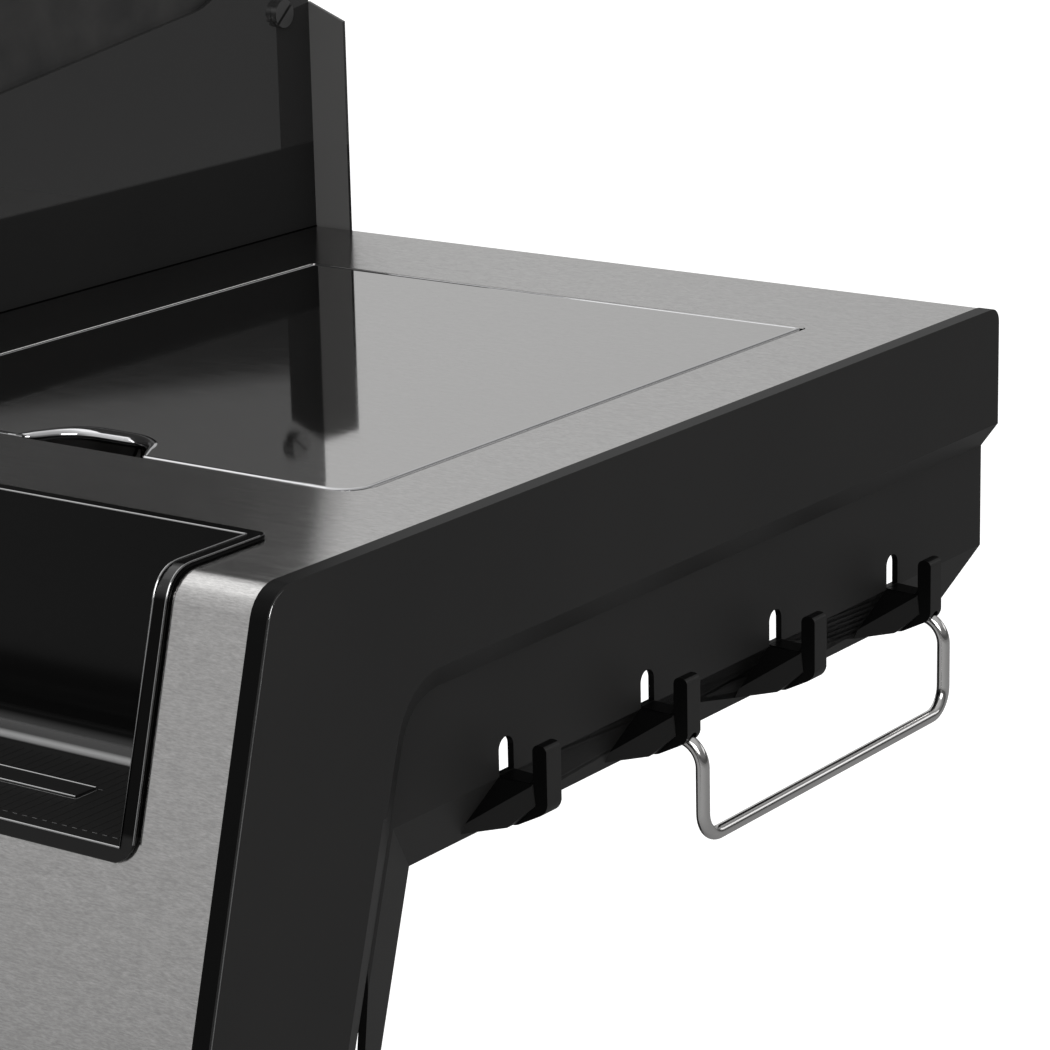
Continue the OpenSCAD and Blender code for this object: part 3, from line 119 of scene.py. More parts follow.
class Nodes:
    """Short calls for the nodes of one material."""

    def __init__(self, name):
        self.material = bpy.data.materials.new(name)
        self.material.use_nodes = True
        self.tree = self.material.node_tree
        self.shader = self.tree.nodes["Principled BSDF"]

    def add(self, kind, **values):
        node = self.tree.nodes.new(kind)
        for name, value in values.items():
            if name in node.inputs:
                node.inputs[name].default_value = value
            else:
                setattr(node, name, value)
        return node

    def link(self, source, target):
        self.tree.links.new(source, target)

    def place(self, scale=(1, 1, 1)):
        """Object coordinates, scaled along each axis."""
        where = self.add("ShaderNodeTexCoord")
        mapping = self.add("ShaderNodeMapping", Scale=scale)
        self.link(where.outputs["Object"], mapping.inputs["Vector"])
        return mapping.outputs["Vector"]

    def noise(self, scale, stretch=(1, 1, 1), detail=4.0, rough=0.55):
        node = self.add("ShaderNodeTexNoise", Scale=scale, Detail=detail, Roughness=rough)
        self.link(self.place(stretch), node.inputs["Vector"])
        return node.outputs["Fac"]

    def cells(self, scale):
        node = self.add("ShaderNodeTexVoronoi", Scale=scale)
        self.link(self.place(), node.inputs["Vector"])
        return node.outputs["Distance"]

    def across(self, axis, first, last):
        """1 where a face looks along an axis, 0 to 2, either way, and 0 where it looks aside."""
        where = self.add("ShaderNodeTexCoord")
        split = self.add("ShaderNodeSeparateXYZ")
        self.link(where.outputs["Normal"], split.inputs[0])
        size = self.add("ShaderNodeMath", operation="ABSOLUTE")
        self.link(split.outputs[axis], size.inputs[0])
        return self.spread(size.outputs[0], 0, 1, first, last)

    def below(self, height, blend):
        """1 below a height in metres and 0 from a blend above it."""
        split = self.add("ShaderNodeSeparateXYZ")
        self.link(self.add("ShaderNodeNewGeometry").outputs["Position"], split.inputs[0])
        return self.spread(split.outputs["Z"], 1, 0, height, height + blend)

    def spread(self, source, low, high, first=0.3, last=0.7):
        """Maps first..last of a value to low..high."""
        node = self.add("ShaderNodeMapRange")
        for name, value in (("From Min", first), ("From Max", last), ("To Min", low), ("To Max", high)):
            node.inputs[name].default_value = value
        self.link(source, node.inputs["Value"])
        return node.outputs["Result"]

    def combine(self, operation, one, other):
        node = self.add("ShaderNodeMath", operation=operation)
        self.link(one, node.inputs[0])
        self.link(other, node.inputs[1])
        return node.outputs[0]

    def mix(self, factor, one, other):
        node = self.add("ShaderNodeMix", data_type="RGBA")
        for name, value in (("Factor", factor), ("A", one), ("B", other)):
            socket = node.inputs[name]
            if isinstance(value, bpy.types.NodeSocket):
                self.link(value, socket)
            else:
                socket.default_value = value
        return node.outputs["Result"]

    def bump(self, *layers):
        """Bumps on top of each other, each a source, a strength and a depth in mm."""
        last = None
        for source, strength, depth in layers:
            node = self.add("ShaderNodeBump", Strength=strength, Distance=depth * MM)
            self.link(source, node.inputs["Height"])
            if last:
                self.link(last, node.inputs["Normal"])
            last = node.outputs["Normal"]
        self.link(last, self.shader.inputs["Normal"])

    def set(self, **values):
        for name, value in values.items():
            self.shader.inputs[name.replace("_", " ")].default_value = value


def grey(value, warm=0.0):
    return (value * (1 + warm), value, value * (1 - warm), 1)


def brushed_steel(name, along, value=0.55, rough=0.17, contrast=0.2, smear=0.9):
    """Stainless sheet with a short grain along one axis, 0 to 2. Reflections smear across the grain."""
    n = Nodes(name)
    fine = tuple(1.0 if axis == along else 5.0 for axis in range(3))
    coarse = tuple(1.0 if axis == along else 9.0 for axis in range(3))
    lines = n.noise(330, fine, 4, 0.65)
    bands = n.noise(40, coarse, 3, 0.6)
    streaks = n.noise(120, tuple(1.0 if axis == along else 3.0 for axis in range(3)), 5, 0.7)
    cloud = n.noise(3.2, detail=3)
    tones = []
    for part in (1 - contrast, 1 + contrast):
        low = grey(value * part * (1 - contrast / 2), 0.012)
        high = grey(value * part * (1 + contrast / 2), 0.012)
        tones.append(n.mix(n.spread(streaks, 0, 1), low, high))
    tone = n.mix(n.spread(lines, 0, 1, 0.3, 0.7), *tones)
    tone = n.mix(n.spread(cloud, 0, 0.5), tone, grey(value * 0.93, 0.015))
    n.link(tone, n.shader.inputs["Base Color"])
    n.link(n.spread(bands, rough - 0.01, rough + 0.02), n.shader.inputs["Roughness"])
    n.set(Metallic=1.0, Anisotropic=smear, Anisotropic_Rotation=0.25)
    grain = n.add("ShaderNodeCombineXYZ")
    for axis in range(3):
        grain.inputs[axis].default_value = 1.0 if axis == along else 0.02
    n.link(grain.outputs[0], n.shader.inputs["Tangent"])
    return n.material


def moulded_plastic(name, value, rough, grain=900, depth=0.02, level=0.25):
    """Black moulding with a fine spark-eroded grain."""
    n = Nodes(name)
    cloud = n.noise(9, detail=5)
    skin = n.noise(grain, detail=3, rough=0.6)
    tone = n.mix(n.spread(cloud, 0, 1), grey(value * 0.88, 0.01), grey(value * 1.12, 0.02))
    n.link(tone, n.shader.inputs["Base Color"])
    n.link(n.spread(skin, rough - 0.05, rough + 0.06), n.shader.inputs["Roughness"])
    n.set(Specular_IOR_Level=level)
    n.bump((skin, 0.25, depth))
    return n.material


def cap_moulding(name):
    """Black moulding with a fine grain, greyer and rougher on its side, and with painted shade on its edges,
    which are coloured deep black and made smoother.
    """
    n = Nodes(name)
    cloud = n.noise(7, detail=4)
    skin = n.noise(900, detail=3, rough=0.6)
    side = n.across(0, 0.42, 0.66)
    grained = n.mix(n.spread(cloud, 0, 1), grey(0.0178, 0.01), grey(0.0206, 0.02))
    # Painted shade: faces that do not look along X are coloured deep black instead of the side's grey.
    n.link(n.mix(side, grey(0.0026), grained), n.shader.inputs["Base Color"])
    n.link(n.spread(side, 0.3, 0.46, 0, 1), n.shader.inputs["Roughness"])
    n.link(n.spread(side, 0.05, 0.2, 0, 1), n.shader.inputs["Specular IOR Level"])
    n.bump((skin, 0.25, 0.02))
    return n.material


def bin_moulding(name):
    """Deep black moulding with a duller floor, brighter reflections where it is rounded, and a painted
    highlight: a band of rounded faces near the floor is coloured light grey and made part metallic.
    """
    n = Nodes(name)
    cloud = n.noise(9, detail=5)
    skin = n.noise(500, detail=3, rough=0.6)
    floor = n.below(SHELF_Z - 96 * MM, 2 * MM)
    deep = n.mix(n.spread(cloud, 0, 1), grey(0.0022), grey(0.0028, 0.01))
    rounding = n.combine("SUBTRACT", n.across(2, 0.3, 0.5), n.across(2, 0.93, 0.99))
    # Painted highlight: the floor fillet's rounded faces get a light grey, part metallic colour standing in
    # for a highlight line.
    painted_highlight = n.combine("SUBTRACT", n.across(2, 0.82, 0.92), n.across(2, 0.95, 0.985))
    painted_highlight = n.combine("MULTIPLY", painted_highlight, n.below(SHELF_Z - 84 * MM, 8 * MM))
    tone = n.mix(floor, deep, grey(0.015, 0.01))
    n.link(n.mix(painted_highlight, tone, grey(0.5)), n.shader.inputs["Base Color"])
    n.link(n.spread(painted_highlight, 0, 0.7, 0, 1), n.shader.inputs["Metallic"])
    n.link(n.spread(floor, 0.14, 0.4, 0, 1), n.shader.inputs["Roughness"])
    front = n.across(1, 0.975, 0.99)
    level = n.combine("ADD", n.spread(rounding, 0.04, 0.5, 0, 1), n.spread(front, 0, 0.18, 0, 1))
    n.link(level, n.shader.inputs["Specular IOR Level"])
    n.bump((skin, 0.25, 0.004))
    return n.material


def painted(name, colour, rough, peel=260, depth=0.03, level=0.4):
    """Enamel or powder coat with a slight orange peel and dust."""
    n = Nodes(name)
    cloud = n.noise(5, detail=6)
    skin = n.noise(peel, detail=2, rough=0.5)
    dark = tuple(c * 0.85 for c in colour) + (1,)
    light = tuple(c * 1.15 for c in colour) + (1,)
    n.link(n.mix(n.spread(cloud, 0, 1), dark, light), n.shader.inputs["Base Color"])
    n.link(n.spread(cloud, rough - 0.03, rough + 0.05), n.shader.inputs["Roughness"])
    n.set(Specular_IOR_Level=level)
    n.bump((skin, 0.2, depth))
    return n.material


def panel_enamel(name):
    """Black enamel that mirrors, duller up to a little above the shelves, and with painted light on faces to
    the front, which are coloured a lighter grey for the light they catch.
    """
    n = Nodes(name)
    cloud = n.noise(5, detail=6)
    skin = n.noise(180, detail=2, rough=0.5)
    dull = n.below(SHELF_Z + 40 * MM, 6 * MM)
    # Painted light: faces that look along Y, such as the rear flange, are coloured grey for the light they
    # catch.
    painted_light_flange = n.across(1, 0.9, 0.97)
    deep = n.mix(n.spread(cloud, 0, 1), grey(0.0165), grey(0.0185, 0.01))
    n.link(n.mix(painted_light_flange, deep, grey(0.1, 0.01)), n.shader.inputs["Base Color"])
    flat = n.combine("MAXIMUM", dull, painted_light_flange)
    n.link(n.spread(flat, 0.02, 0.3, 0, 1), n.shader.inputs["Roughness"])
    n.link(n.spread(flat, 0.9, 0.0, 0, 0.25), n.shader.inputs["Specular IOR Level"])
    n.bump((skin, 0.05, 0.0005))
    return n.material


def bright_metal(name, colour, rough, cloud_scale=14):
    """Plated, drawn or turned metal with small changes of tone."""
    n = Nodes(name)
    cloud = n.noise(cloud_scale, detail=5)
    fine = n.noise(420, detail=3)
    n.link(n.mix(n.spread(cloud, 0, 1), tuple(c * 0.88 for c in colour) + (1,), tuple(colour) + (1,)),
           n.shader.inputs["Base Color"])
    n.link(n.spread(fine, rough - 0.03, rough + 0.05), n.shader.inputs["Roughness"])
    n.set(Metallic=1.0)
    n.bump((fine, 0.06, 0.01))
    return n.material


def cast_metal(name, value, rough):
    """Sand-cast surface, painted or enamelled."""
    n = Nodes(name)
    pits = n.noise(240, detail=6, rough=0.7)
    lumps = n.noise(38, detail=3)
    tone = n.mix(n.spread(lumps, 0, 1), grey(value * 0.75), grey(value * 1.25, 0.03))
    n.link(tone, n.shader.inputs["Base Color"])
    n.link(n.spread(pits, rough - 0.06, rough + 0.08), n.shader.inputs["Roughness"])
    n.bump((pits, 0.35, 0.12), (lumps, 0.25, 0.25))
    return n.material


def galvanised(name):
    """Zinc-coated sheet with faint spangles."""
    n = Nodes(name)
    spangle = n.cells(95)
    cloud = n.noise(6, detail=4)
    tone = n.mix(n.spread(spangle, 0, 1, 0.1, 0.8), grey(0.36), grey(0.5))
    n.link(n.mix(n.spread(cloud, 0, 0.5), tone, grey(0.34, 0.02)), n.shader.inputs["Base Color"])
    n.link(n.spread(spangle, 0.32, 0.46, 0.1, 0.8), n.shader.inputs["Roughness"])
    n.set(Metallic=1.0)
    n.bump((spangle, 0.08, 0.03))
    return n.material


def rubber(name):
    """Black tyre rubber with some dust."""
    n = Nodes(name)
    skin = n.noise(300, detail=4)
    dust = n.noise(24, detail=6)
    tone = n.mix(n.spread(dust, 0, 1, 0.4, 0.75), grey(0.022), grey(0.055, 0.04))
    n.link(tone, n.shader.inputs["Base Color"])
    n.link(n.spread(skin, 0.55, 0.75), n.shader.inputs["Roughness"])
    n.bump((skin, 0.3, 0.05))
    return n.material


def clear_glass(name):
    """Thin clear glass with faint smears."""
    n = Nodes(name)
    smear = n.noise(30, detail=4)
    n.link(n.spread(smear, 0.02, 0.06), n.shader.inputs["Roughness"])
    n.set(Base_Color=(1, 1, 1, 1), Transmission_Weight=1.0, IOR=1.2)
    return n.material


STEEL_X = brushed_steel("steel brushed across", 0)
STEEL_Z = brushed_steel("steel brushed upright", 2)
POLISHED = brushed_steel("polished steel", 0, rough=0.04, contrast=0.06, smear=0.0)
SATIN = bright_metal("satin steel", (0.62, 0.615, 0.6), 0.2)
WIRE = bright_metal("drawn wire", (0.86, 0.85, 0.84), 0.12)
TUBE = bright_metal("burner steel", (0.42, 0.40, 0.37), 0.38, 8)
CHROME = bright_metal("bright chrome", (0.72, 0.72, 0.73), 0.08)
ZINC = bright_metal("zinc plate", (0.4, 0.41, 0.42), 0.34)
DULL = bright_metal("dull steel", (0.2, 0.2, 0.2), 0.4)
# Grey metal for thin beads that stand in for highlight lines on black mouldings: painted highlights.
PAINTED_GLINT = bright_metal("painted highlight line", (0.42, 0.42, 0.42), 0.14)
BIN = bin_moulding("deep black moulding")
BRASS = bright_metal("brass", (0.66, 0.47, 0.2), 0.27)
GALVANISED = galvanised("galvanised sheet")
NYLON = cap_moulding("grained black moulding")
GLOSS = moulded_plastic("glossy black moulding", 0.0035, 0.15, 500, 0.004, 0.22)
DARK = moulded_plastic("hard black moulding", 0.008, 0.3, 700, 0.01, 0.35)
RED = painted("red moulding", (0.5, 0.03, 0.02), 0.35, 500, 0.02)
WHITE = painted("white print", (0.75, 0.75, 0.73), 0.5, 500, 0.005)
ENAMEL = panel_enamel("black enamel")
PAINT = painted("black powder coat", (0.014, 0.014, 0.015), 0.42, 420, 0.05, 0.3)
CAST_ALU = cast_metal("painted casting", 0.028, 0.42)
CAST_IRON = cast_metal("enamelled iron", 0.024, 0.48)
RUBBER = rubber("wheel rubber")
# Near-black finish without reflection for the beads that stand in for shadow in gaps: painted shade.
GAP_SHADE = painted("painted gap shade", (0.0015, 0.0015, 0.0015), 0.6, 500, 0.005, 0.0)
GLASS = clear_glass("lens glass")


# CAD nodes

CREASE = math.radians(28)
FACET_CREASE = math.radians(13)
SQUARE_EDGE = 1.2
PLANAR = math.radians(0.3)
BEVEL_STEPS = 2
OUTER_STEPS = 4


def clean_group():
    """Geometry nodes that drop the imported normals and weld the faces together."""
    group = bpy.data.node_groups.new("clean", "GeometryNodeTree")
    group.interface.new_socket("Geometry", in_out="INPUT", socket_type="NodeSocketGeometry")
    group.interface.new_socket("Geometry", in_out="OUTPUT", socket_type="NodeSocketGeometry")
    last = group.nodes.new("NodeGroupInput").outputs[0]
    for name in ("custom_normal", "sharp_edge", "sharp_face"):
        remove = group.nodes.new("GeometryNodeRemoveAttribute")
        remove.inputs["Name"].default_value = name
        group.links.new(last, remove.inputs["Geometry"])
        last = remove.outputs["Geometry"]
    weld = group.nodes.new("GeometryNodeMergeByDistance")
    weld.inputs["Distance"].default_value = 0.01 * MM
    group.links.new(last, weld.inputs["Geometry"])
    group.links.new(weld.outputs["Geometry"], group.nodes.new("NodeGroupOutput").inputs[0])
    return group


def smooth_group(crease):
    """Geometry nodes that shade faces smooth and keep edges sharper than a crease sharp."""
    group = bpy.data.node_groups.new("smooth by angle", "GeometryNodeTree")
    group.interface.new_socket("Geometry", in_out="INPUT", socket_type="NodeSocketGeometry")
    group.interface.new_socket("Geometry", in_out="OUTPUT", socket_type="NodeSocketGeometry")
    start, end = group.nodes.new("NodeGroupInput"), group.nodes.new("NodeGroupOutput")
    faces = group.nodes.new("GeometryNodeSetShadeSmooth")
    edges = group.nodes.new("GeometryNodeSetShadeSmooth")
    edges.domain = "EDGE"
    angle = group.nodes.new("GeometryNodeInputMeshEdgeAngle")
    under = group.nodes.new("FunctionNodeCompare")
    under.operation = "LESS_THAN"
    under.inputs["B"].default_value = crease
    group.links.new(angle.outputs["Unsigned Angle"], under.inputs["A"])
    group.links.new(under.outputs["Result"], edges.inputs["Shade Smooth"])
    group.links.new(start.outputs[0], faces.inputs["Geometry"])
    group.links.new(faces.outputs["Geometry"], edges.inputs["Geometry"])
    group.links.new(edges.outputs["Geometry"], end.inputs[0])
    return group


CLEAN = clean_group()
SMOOTH = smooth_group(CREASE)
CRISP = smooth_group(FACET_CREASE)


def end_edges_group(reach):
    """Geometry nodes that mark the square edges of a piece's outermost faces along X for a bevel."""
    group = bpy.data.node_groups.new("mark end edges", "GeometryNodeTree")
    group.interface.new_socket("Geometry", in_out="INPUT", socket_type="NodeSocketGeometry")
    group.interface.new_socket("Geometry", in_out="OUTPUT", socket_type="NodeSocketGeometry")
    start, end = group.nodes.new("NodeGroupInput"), group.nodes.new("NodeGroupOutput")
    split = group.nodes.new("ShaderNodeSeparateXYZ")
    group.links.new(group.nodes.new("GeometryNodeInputPosition").outputs[0], split.inputs[0])
    size = group.nodes.new("ShaderNodeMath")
    size.operation = "ABSOLUTE"
    group.links.new(split.outputs["X"], size.inputs[0])
    angle = group.nodes.new("GeometryNodeInputMeshEdgeAngle")
    tests = []
    for source, limit in ((size.outputs[0], reach), (angle.outputs["Unsigned Angle"], SQUARE_EDGE)):
        test = group.nodes.new("ShaderNodeMath")
        test.operation = "GREATER_THAN"
        test.inputs[1].default_value = limit
        group.links.new(source, test.inputs[0])
        tests.append(test.outputs[0])
    both = group.nodes.new("ShaderNodeMath")
    both.operation = "MULTIPLY"
    group.links.new(tests[0], both.inputs[0])
    group.links.new(tests[1], both.inputs[1])
    mark = group.nodes.new("GeometryNodeStoreNamedAttribute")
    mark.data_type, mark.domain = "FLOAT", "EDGE"
    mark.inputs["Name"].default_value = "bevel_weight_edge"
    group.links.new(both.outputs[0], mark.inputs["Value"])
    group.links.new(start.outputs[0], mark.inputs["Geometry"])
    group.links.new(mark.outputs["Geometry"], end.inputs[0])
    return group


def soften(piece, width, flatten=True, end_edges=0.0):
    """Rounds a piece's edges by width in mm and shades it smooth, all by modifiers."""
    if flatten:
        piece.modifiers.new("clean", "NODES").node_group = CLEAN
        planar = piece.modifiers.new("planar", "DECIMATE")
        planar.decimate_type = "DISSOLVE"
        planar.angle_limit = PLANAR
    if end_edges > 0:
        reach = max(abs(v.co.x) for v in piece.data.vertices) - 0.05 * MM
        piece.modifiers.new("end edges", "NODES").node_group = end_edges_group(reach)
        outer = piece.modifiers.new("outer bevel", "BEVEL")
        outer.width = end_edges * MM
        outer.segments = OUTER_STEPS
        outer.limit_method = "WEIGHT"
        outer.use_clamp_overlap = False
    if width > 0:
        bevel = piece.modifiers.new("bevel", "BEVEL")
        bevel.width = width * MM
        bevel.segments = BEVEL_STEPS
        bevel.limit_method = "ANGLE"
        bevel.angle_limit = CREASE
        bevel.miter_outer = "MITER_ARC"
    piece.modifiers.new("smooth", "NODES").node_group = CRISP if end_edges > 0 else SMOOTH
    weighted = piece.modifiers.new("normals", "WEIGHTED_NORMAL")
    weighted.keep_sharp = True


def dress(material, width, *names, end_edges=0.0):
    """Gives nodes a material and rounded edges."""
    for name in names:
        node = NODES[name]
        node.data.materials.clear()
        node.data.materials.append(material)
        soften(node, width, end_edges=end_edges)


BOTH = ("right", "left")
dress(STEEL_X, 0.7, "shelf_right", "shelf_left", "control_panel")
dress(POLISHED, 0.7, "side_burner_lid")
dress(STEEL_X, 0.5, "hood_shell")
dress(STEEL_Z, 1.2, "door_left", "door_right")
dress(NYLON, 0.8, *("end_cap_" + side for side in BOTH), end_edges=1.6)
dress(BIN, 1.0, *("bin_" + side for side in BOTH))
dress(WIRE, 0, *("towel_bar_" + side for side in BOTH))
dress(SATIN, 0.8, "hood_handle", "thermometer", *("door_handle_" + side for side in BOTH))
dress(TUBE, 0.4, "burners", "flame_tamers", "warming_rack")
dress(CHROME, 0.5, "knob_bezels")
dress(DULL, 0.4, "hinge_screws")
dress(GLOSS, 1.0, "ignition_button", *("knob_" + n for n in ("left", "middle", "right", "side_burner")))
dress(BRASS, 0.4, "gas_valves", *("stem_" + n for n in ("left", "middle", "right", "side_burner")))
dress(ENAMEL, 0.5, "firebox", "firebox_panel_left", "firebox_panel_right", "side_burner_bowl")
dress(PAINT, 0.6, "cart_base", "cart_side_left", "cart_side_right", "cart_back", "cart_front_rail")
dress(CAST_ALU, 1.5, "hood_end_left", "hood_end_right")
dress(CAST_IRON, 1.2, "side_burner", "side_burner_grate", "cooking_grate_left", "cooking_grate_right")
dress(GALVANISED, 0.4, "gas_manifold", "grease_tray", "grease_cup")
dress(ZINC, 0.5, "caster_mounts", "caster_fork_left", "caster_fork_right")
dress(RUBBER, 0.8, *(f"wheel_{end}_{side}" for end in ("front", "rear") for side in BOTH))
dress(RED, 0.6, "brake_left", "brake_right")
dress(RED, 0, "thermometer_needle")


# Pieces

def join_piece(name, mesh, material, body, slot, width=0.0):
    """Makes a mesh a piece of the object that rides on a body."""
    piece = bpy.data.objects.new(name, mesh)
    bpy.context.scene.collection.objects.link(piece)
    mesh.materials.append(material)
    soften(piece, width, flatten=False)
    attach(piece, body)
    return piece


def from_bmesh(name, bm, *rest, **options):
    """Turns a bmesh into a piece, with join_piece's material, body, slot and width; the slot is not used."""
    mesh = bpy.data.meshes.new(name)
    bmesh.ops.recalc_face_normals(bm, faces=bm.faces)
    bm.to_mesh(mesh)
    bm.free()
    return join_piece(name, mesh, *rest, **options)


def add_lathe(bm, profile, place, steps=64):
    """Turns a profile of (radius, height) in mm round the Z axis of place."""
    rings = []
    for radius, height in profile:
        if radius <= 0:
            rings.append([bm.verts.new(place @ Vector((0, 0, height * MM)))])
            continue
        ring = []
        for i in range(steps):
            a = 2 * math.pi * i / steps
            point = Vector((radius * MM * math.cos(a), radius * MM * math.sin(a), height * MM))
            ring.append(bm.verts.new(place @ point))
        rings.append(ring)
    for one, other in zip(rings, rings[1:]):
        for i in range(steps):
            j = (i + 1) % steps
            corners = [one[i % len(one)], one[j % len(one)], other[j % len(other)], other[i % len(other)]]
            unique = list(dict.fromkeys(corners))
            if len(unique) > 2:
                bm.faces.new(unique)


def add_slab(bm, outline, low, high, place, taper=0.0):
    """Extrudes an outline in mm from low to high along the Z axis of place. The top is smaller by taper."""
    middle = Vector((sum(p[0] for p in outline) / len(outline), sum(p[1] for p in outline) / len(outline)))
    rings = []
    for height, shrink in ((low, 0.0), (high, taper)):
        ring = []
        for x, y in outline:
            away = Vector((x, y)) - middle
            point = middle + away * (1 - shrink / max(away.length, 0.001))
            ring.append(bm.verts.new(place @ Vector((point.x * MM, point.y * MM, height * MM))))
        rings.append(ring)
    bm.faces.new(rings[0][::-1])
    bm.faces.new(rings[1])
    for i in range(len(outline)):
        j = (i + 1) % len(outline)
        bm.faces.new((rings[0][i], rings[0][j], rings[1][j], rings[1][i]))


def rectangle(x0, y0, x1, y1):
    return [(x0, y0), (x1, y0), (x1, y1), (x0, y1)]


def polygon(radius, corners, y=0.0):
    """A regular polygon round a point on the Y axis."""
    turns = [2 * math.pi * i / corners for i in range(corners)]
    return [(radius * math.cos(a), y + radius * math.sin(a)) for a in turns]


def pill(length, radius, steps=8):
    """A bar with round ends along Y."""
    ends = []
    for side in (1, -1):
        for i in range(steps + 1):
            a = math.pi * i / steps
            ends.append((radius * math.cos(a) * side, side * (length / 2 - radius + radius * math.sin(a))))
    return ends


def arc_band(inner, outer, start, stop, steps=24):
    """A band between two radii; each may be a pair of values for its start and stop."""
    def at(value, t):
        return value[0] * (1 - t) + value[1] * t if isinstance(value, tuple) else value
    one, other = [], []
    for i in range(steps + 1):
        t = i / steps
        a = math.radians(start * (1 - t) + stop * t)
        one.append((at(inner, t) * math.cos(a), at(inner, t) * math.sin(a)))
        other.append((at(outer, t) * math.cos(a), at(outer, t) * math.sin(a)))
    return one + other[::-1]


def add_hex_bolt(bm, place, across, height):
    """A hexagon head with its washer, standing on the XY plane of place."""
    washer = [(0, 0), (across * 0.85, 0), (across * 0.85, 1.1), (across * 0.8, 1.3), (0, 1.3)]
    add_lathe(bm, washer, place, 32)
    add_slab(bm, polygon(across / math.sqrt(3), 6), 1.3, height, place)
    add_lathe(bm, [(across * 0.44, height), (across * 0.38, height + 0.4), (0, height + 0.4)], place, 24)


def facing(where, axis):
    """A frame at a point whose Z lies along an axis."""
    return Matrix.Translation(where) @ Vector(axis).to_track_quat("Z", "Y").to_matrix().to_4x4()


# Knobs: a skirt with a rolled edge, a tapered grip with a raised bar, and a printed pointer
KNOBS = {"left": -210, "middle": 0, "right": 210, "side_burner": 300}
KNOB_BASE = 5.0
KNOB_TOP = 38.0
DROP = 100.0
GRIP_RIBS = 30
KNOB_SKIRT = [(4.2, 0), (26.5, 0), (28, 1), (28, 3), (27.2, 6.5), (25.5, 8), (22, 8.8), (21, 10)]
KNOB_CROWN = [(20.2, 29), (19.4, 31.2), (17.5, 32), (0, 32.4)]

for name, x in KNOBS.items():
    place = panel_frame(x, DROP)
    bm = bmesh.new()
    add_lathe(bm, [(radius, KNOB_BASE + rise) for radius, rise in KNOB_SKIRT] + KNOB_CROWN, place, 96)
    add_slab(bm, pill(37.6, 6.8), 30, KNOB_TOP, place, 1.2)
    for i in range(GRIP_RIBS):
        spin = place @ Matrix.Rotation(2 * math.pi * i / GRIP_RIBS, 4, "Z")
        add_slab(bm, rectangle(20.2, -0.7, 21.1, 0.7), KNOB_BASE + 10, 27, spin)
    cap = from_bmesh("knob_cap_" + name, bm, DARK, f"knob_{name}_body", "black_gloss", width=0.5)
    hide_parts("knob_" + name)
    bm = bmesh.new()
    add_slab(bm, rectangle(-0.8, 3, 0.8, 16), KNOB_TOP - 0.3, KNOB_TOP, place)
    add_slab(bm, rectangle(-0.8, 22.5, 0.8, 25.5), KNOB_BASE + 7.5, KNOB_BASE + 8.6, place)
    from_bmesh("knob_pointer_" + name, bm, WHITE, f"knob_{name}_body", "black_gloss")

# Printed scales beside the knobs: a dot for off, and a wedge from high to low flame
PRINT = 0.08
bm = bmesh.new()
for x in KNOBS.values():
    place = panel_frame(x, DROP)
    add_slab(bm, polygon(1.7, 24, y=40.5), 0.0, PRINT, place)
    add_slab(bm, arc_band((39.2, 40.2), (42.6, 40.6), 175, 245), 0.0, PRINT, place)
from_bmesh("knob_scales", bm, DARK, "grill", "black_gloss")

# Thermometer: dial, ticks, numbers and lens in the steel case
SLOPE_TOP, SLOPE_LOW = Vector((-320, 318)), Vector((-505, 180))
GAUGE_LEAN = math.atan2(SLOPE_TOP.x - SLOPE_LOW.x, SLOPE_TOP.y - SLOPE_LOW.y)
DIAL_R, DIAL_HOLE, DIAL_LOW, DIAL_TOP = 32.6, 3, 8.05, 8.4
INK_TOP = DIAL_TOP + 0.1
DIAL_START, DIAL_SPAN = 225, 270
TICKS, NUMBERS = 31, 7
NUMBER_R, NUMBER_STEP = 17.8, 50
gauge = Matrix.Translation(mid_point(0, *(SLOPE_TOP + SLOPE_LOW) / 2))
gauge = gauge @ Matrix.Rotation(math.pi / 2 - GAUGE_LEAN, 4, "X")
bm = bmesh.new()
add_lathe(bm, [(DIAL_HOLE, DIAL_LOW), (DIAL_R, DIAL_LOW), (DIAL_R, DIAL_TOP), (DIAL_HOLE, DIAL_TOP),
               (DIAL_HOLE, DIAL_LOW)], gauge, 96)
from_bmesh("thermometer_dial", bm, WHITE, "hood", "satin_steel")
bm = bmesh.new()
for i in range(TICKS):
    spin = gauge @ Matrix.Rotation(math.radians(DIAL_START - DIAL_SPAN / (TICKS - 1) * i), 4, "Z")
    inner, half = (24.5, 0.45) if i % 5 == 0 else (27, 0.22)
    add_slab(bm, rectangle(inner, -half, 30.5, half), DIAL_TOP, INK_TOP, spin)
from_bmesh("thermometer_ticks", bm, DARK, "hood", "satin_steel")
bm = bmesh.new()
add_slab(bm, arc_band(21.0, 23.0, 135, 45), DIAL_TOP, INK_TOP, gauge)
from_bmesh("thermometer_band", bm, RED, "hood", "red_plastic")
for i in range(NUMBERS):
    a = math.radians(DIAL_START - DIAL_SPAN / (NUMBERS - 1) * i)
    text = bpy.data.curves.new(f"thermometer_number_{i}", "FONT")
    text.body = str(NUMBER_STEP * (i + 1))
    text.size = 6.2 * MM
    text.align_x, text.align_y = "CENTER", "CENTER"
    text.extrude = 0.03 * MM
    text.materials.append(DARK)
    number = bpy.data.objects.new(text.name, text)
    bpy.context.scene.collection.objects.link(number)
    place = Vector((NUMBER_R * math.cos(a), NUMBER_R * math.sin(a), DIAL_TOP + 0.05)) * MM
    number.matrix_world = gauge @ Matrix.Translation(place)
    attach(number, "hood")
bm = bmesh.new()
add_lathe(bm, [(0, 12.6), (31, 12.2), (32.8, 11.6), (32.8, 12.3), (31, 13.0), (0, 13.4)], gauge, 96)
from_bmesh("thermometer_lens", bm, GLASS, "hood", "satin_steel")


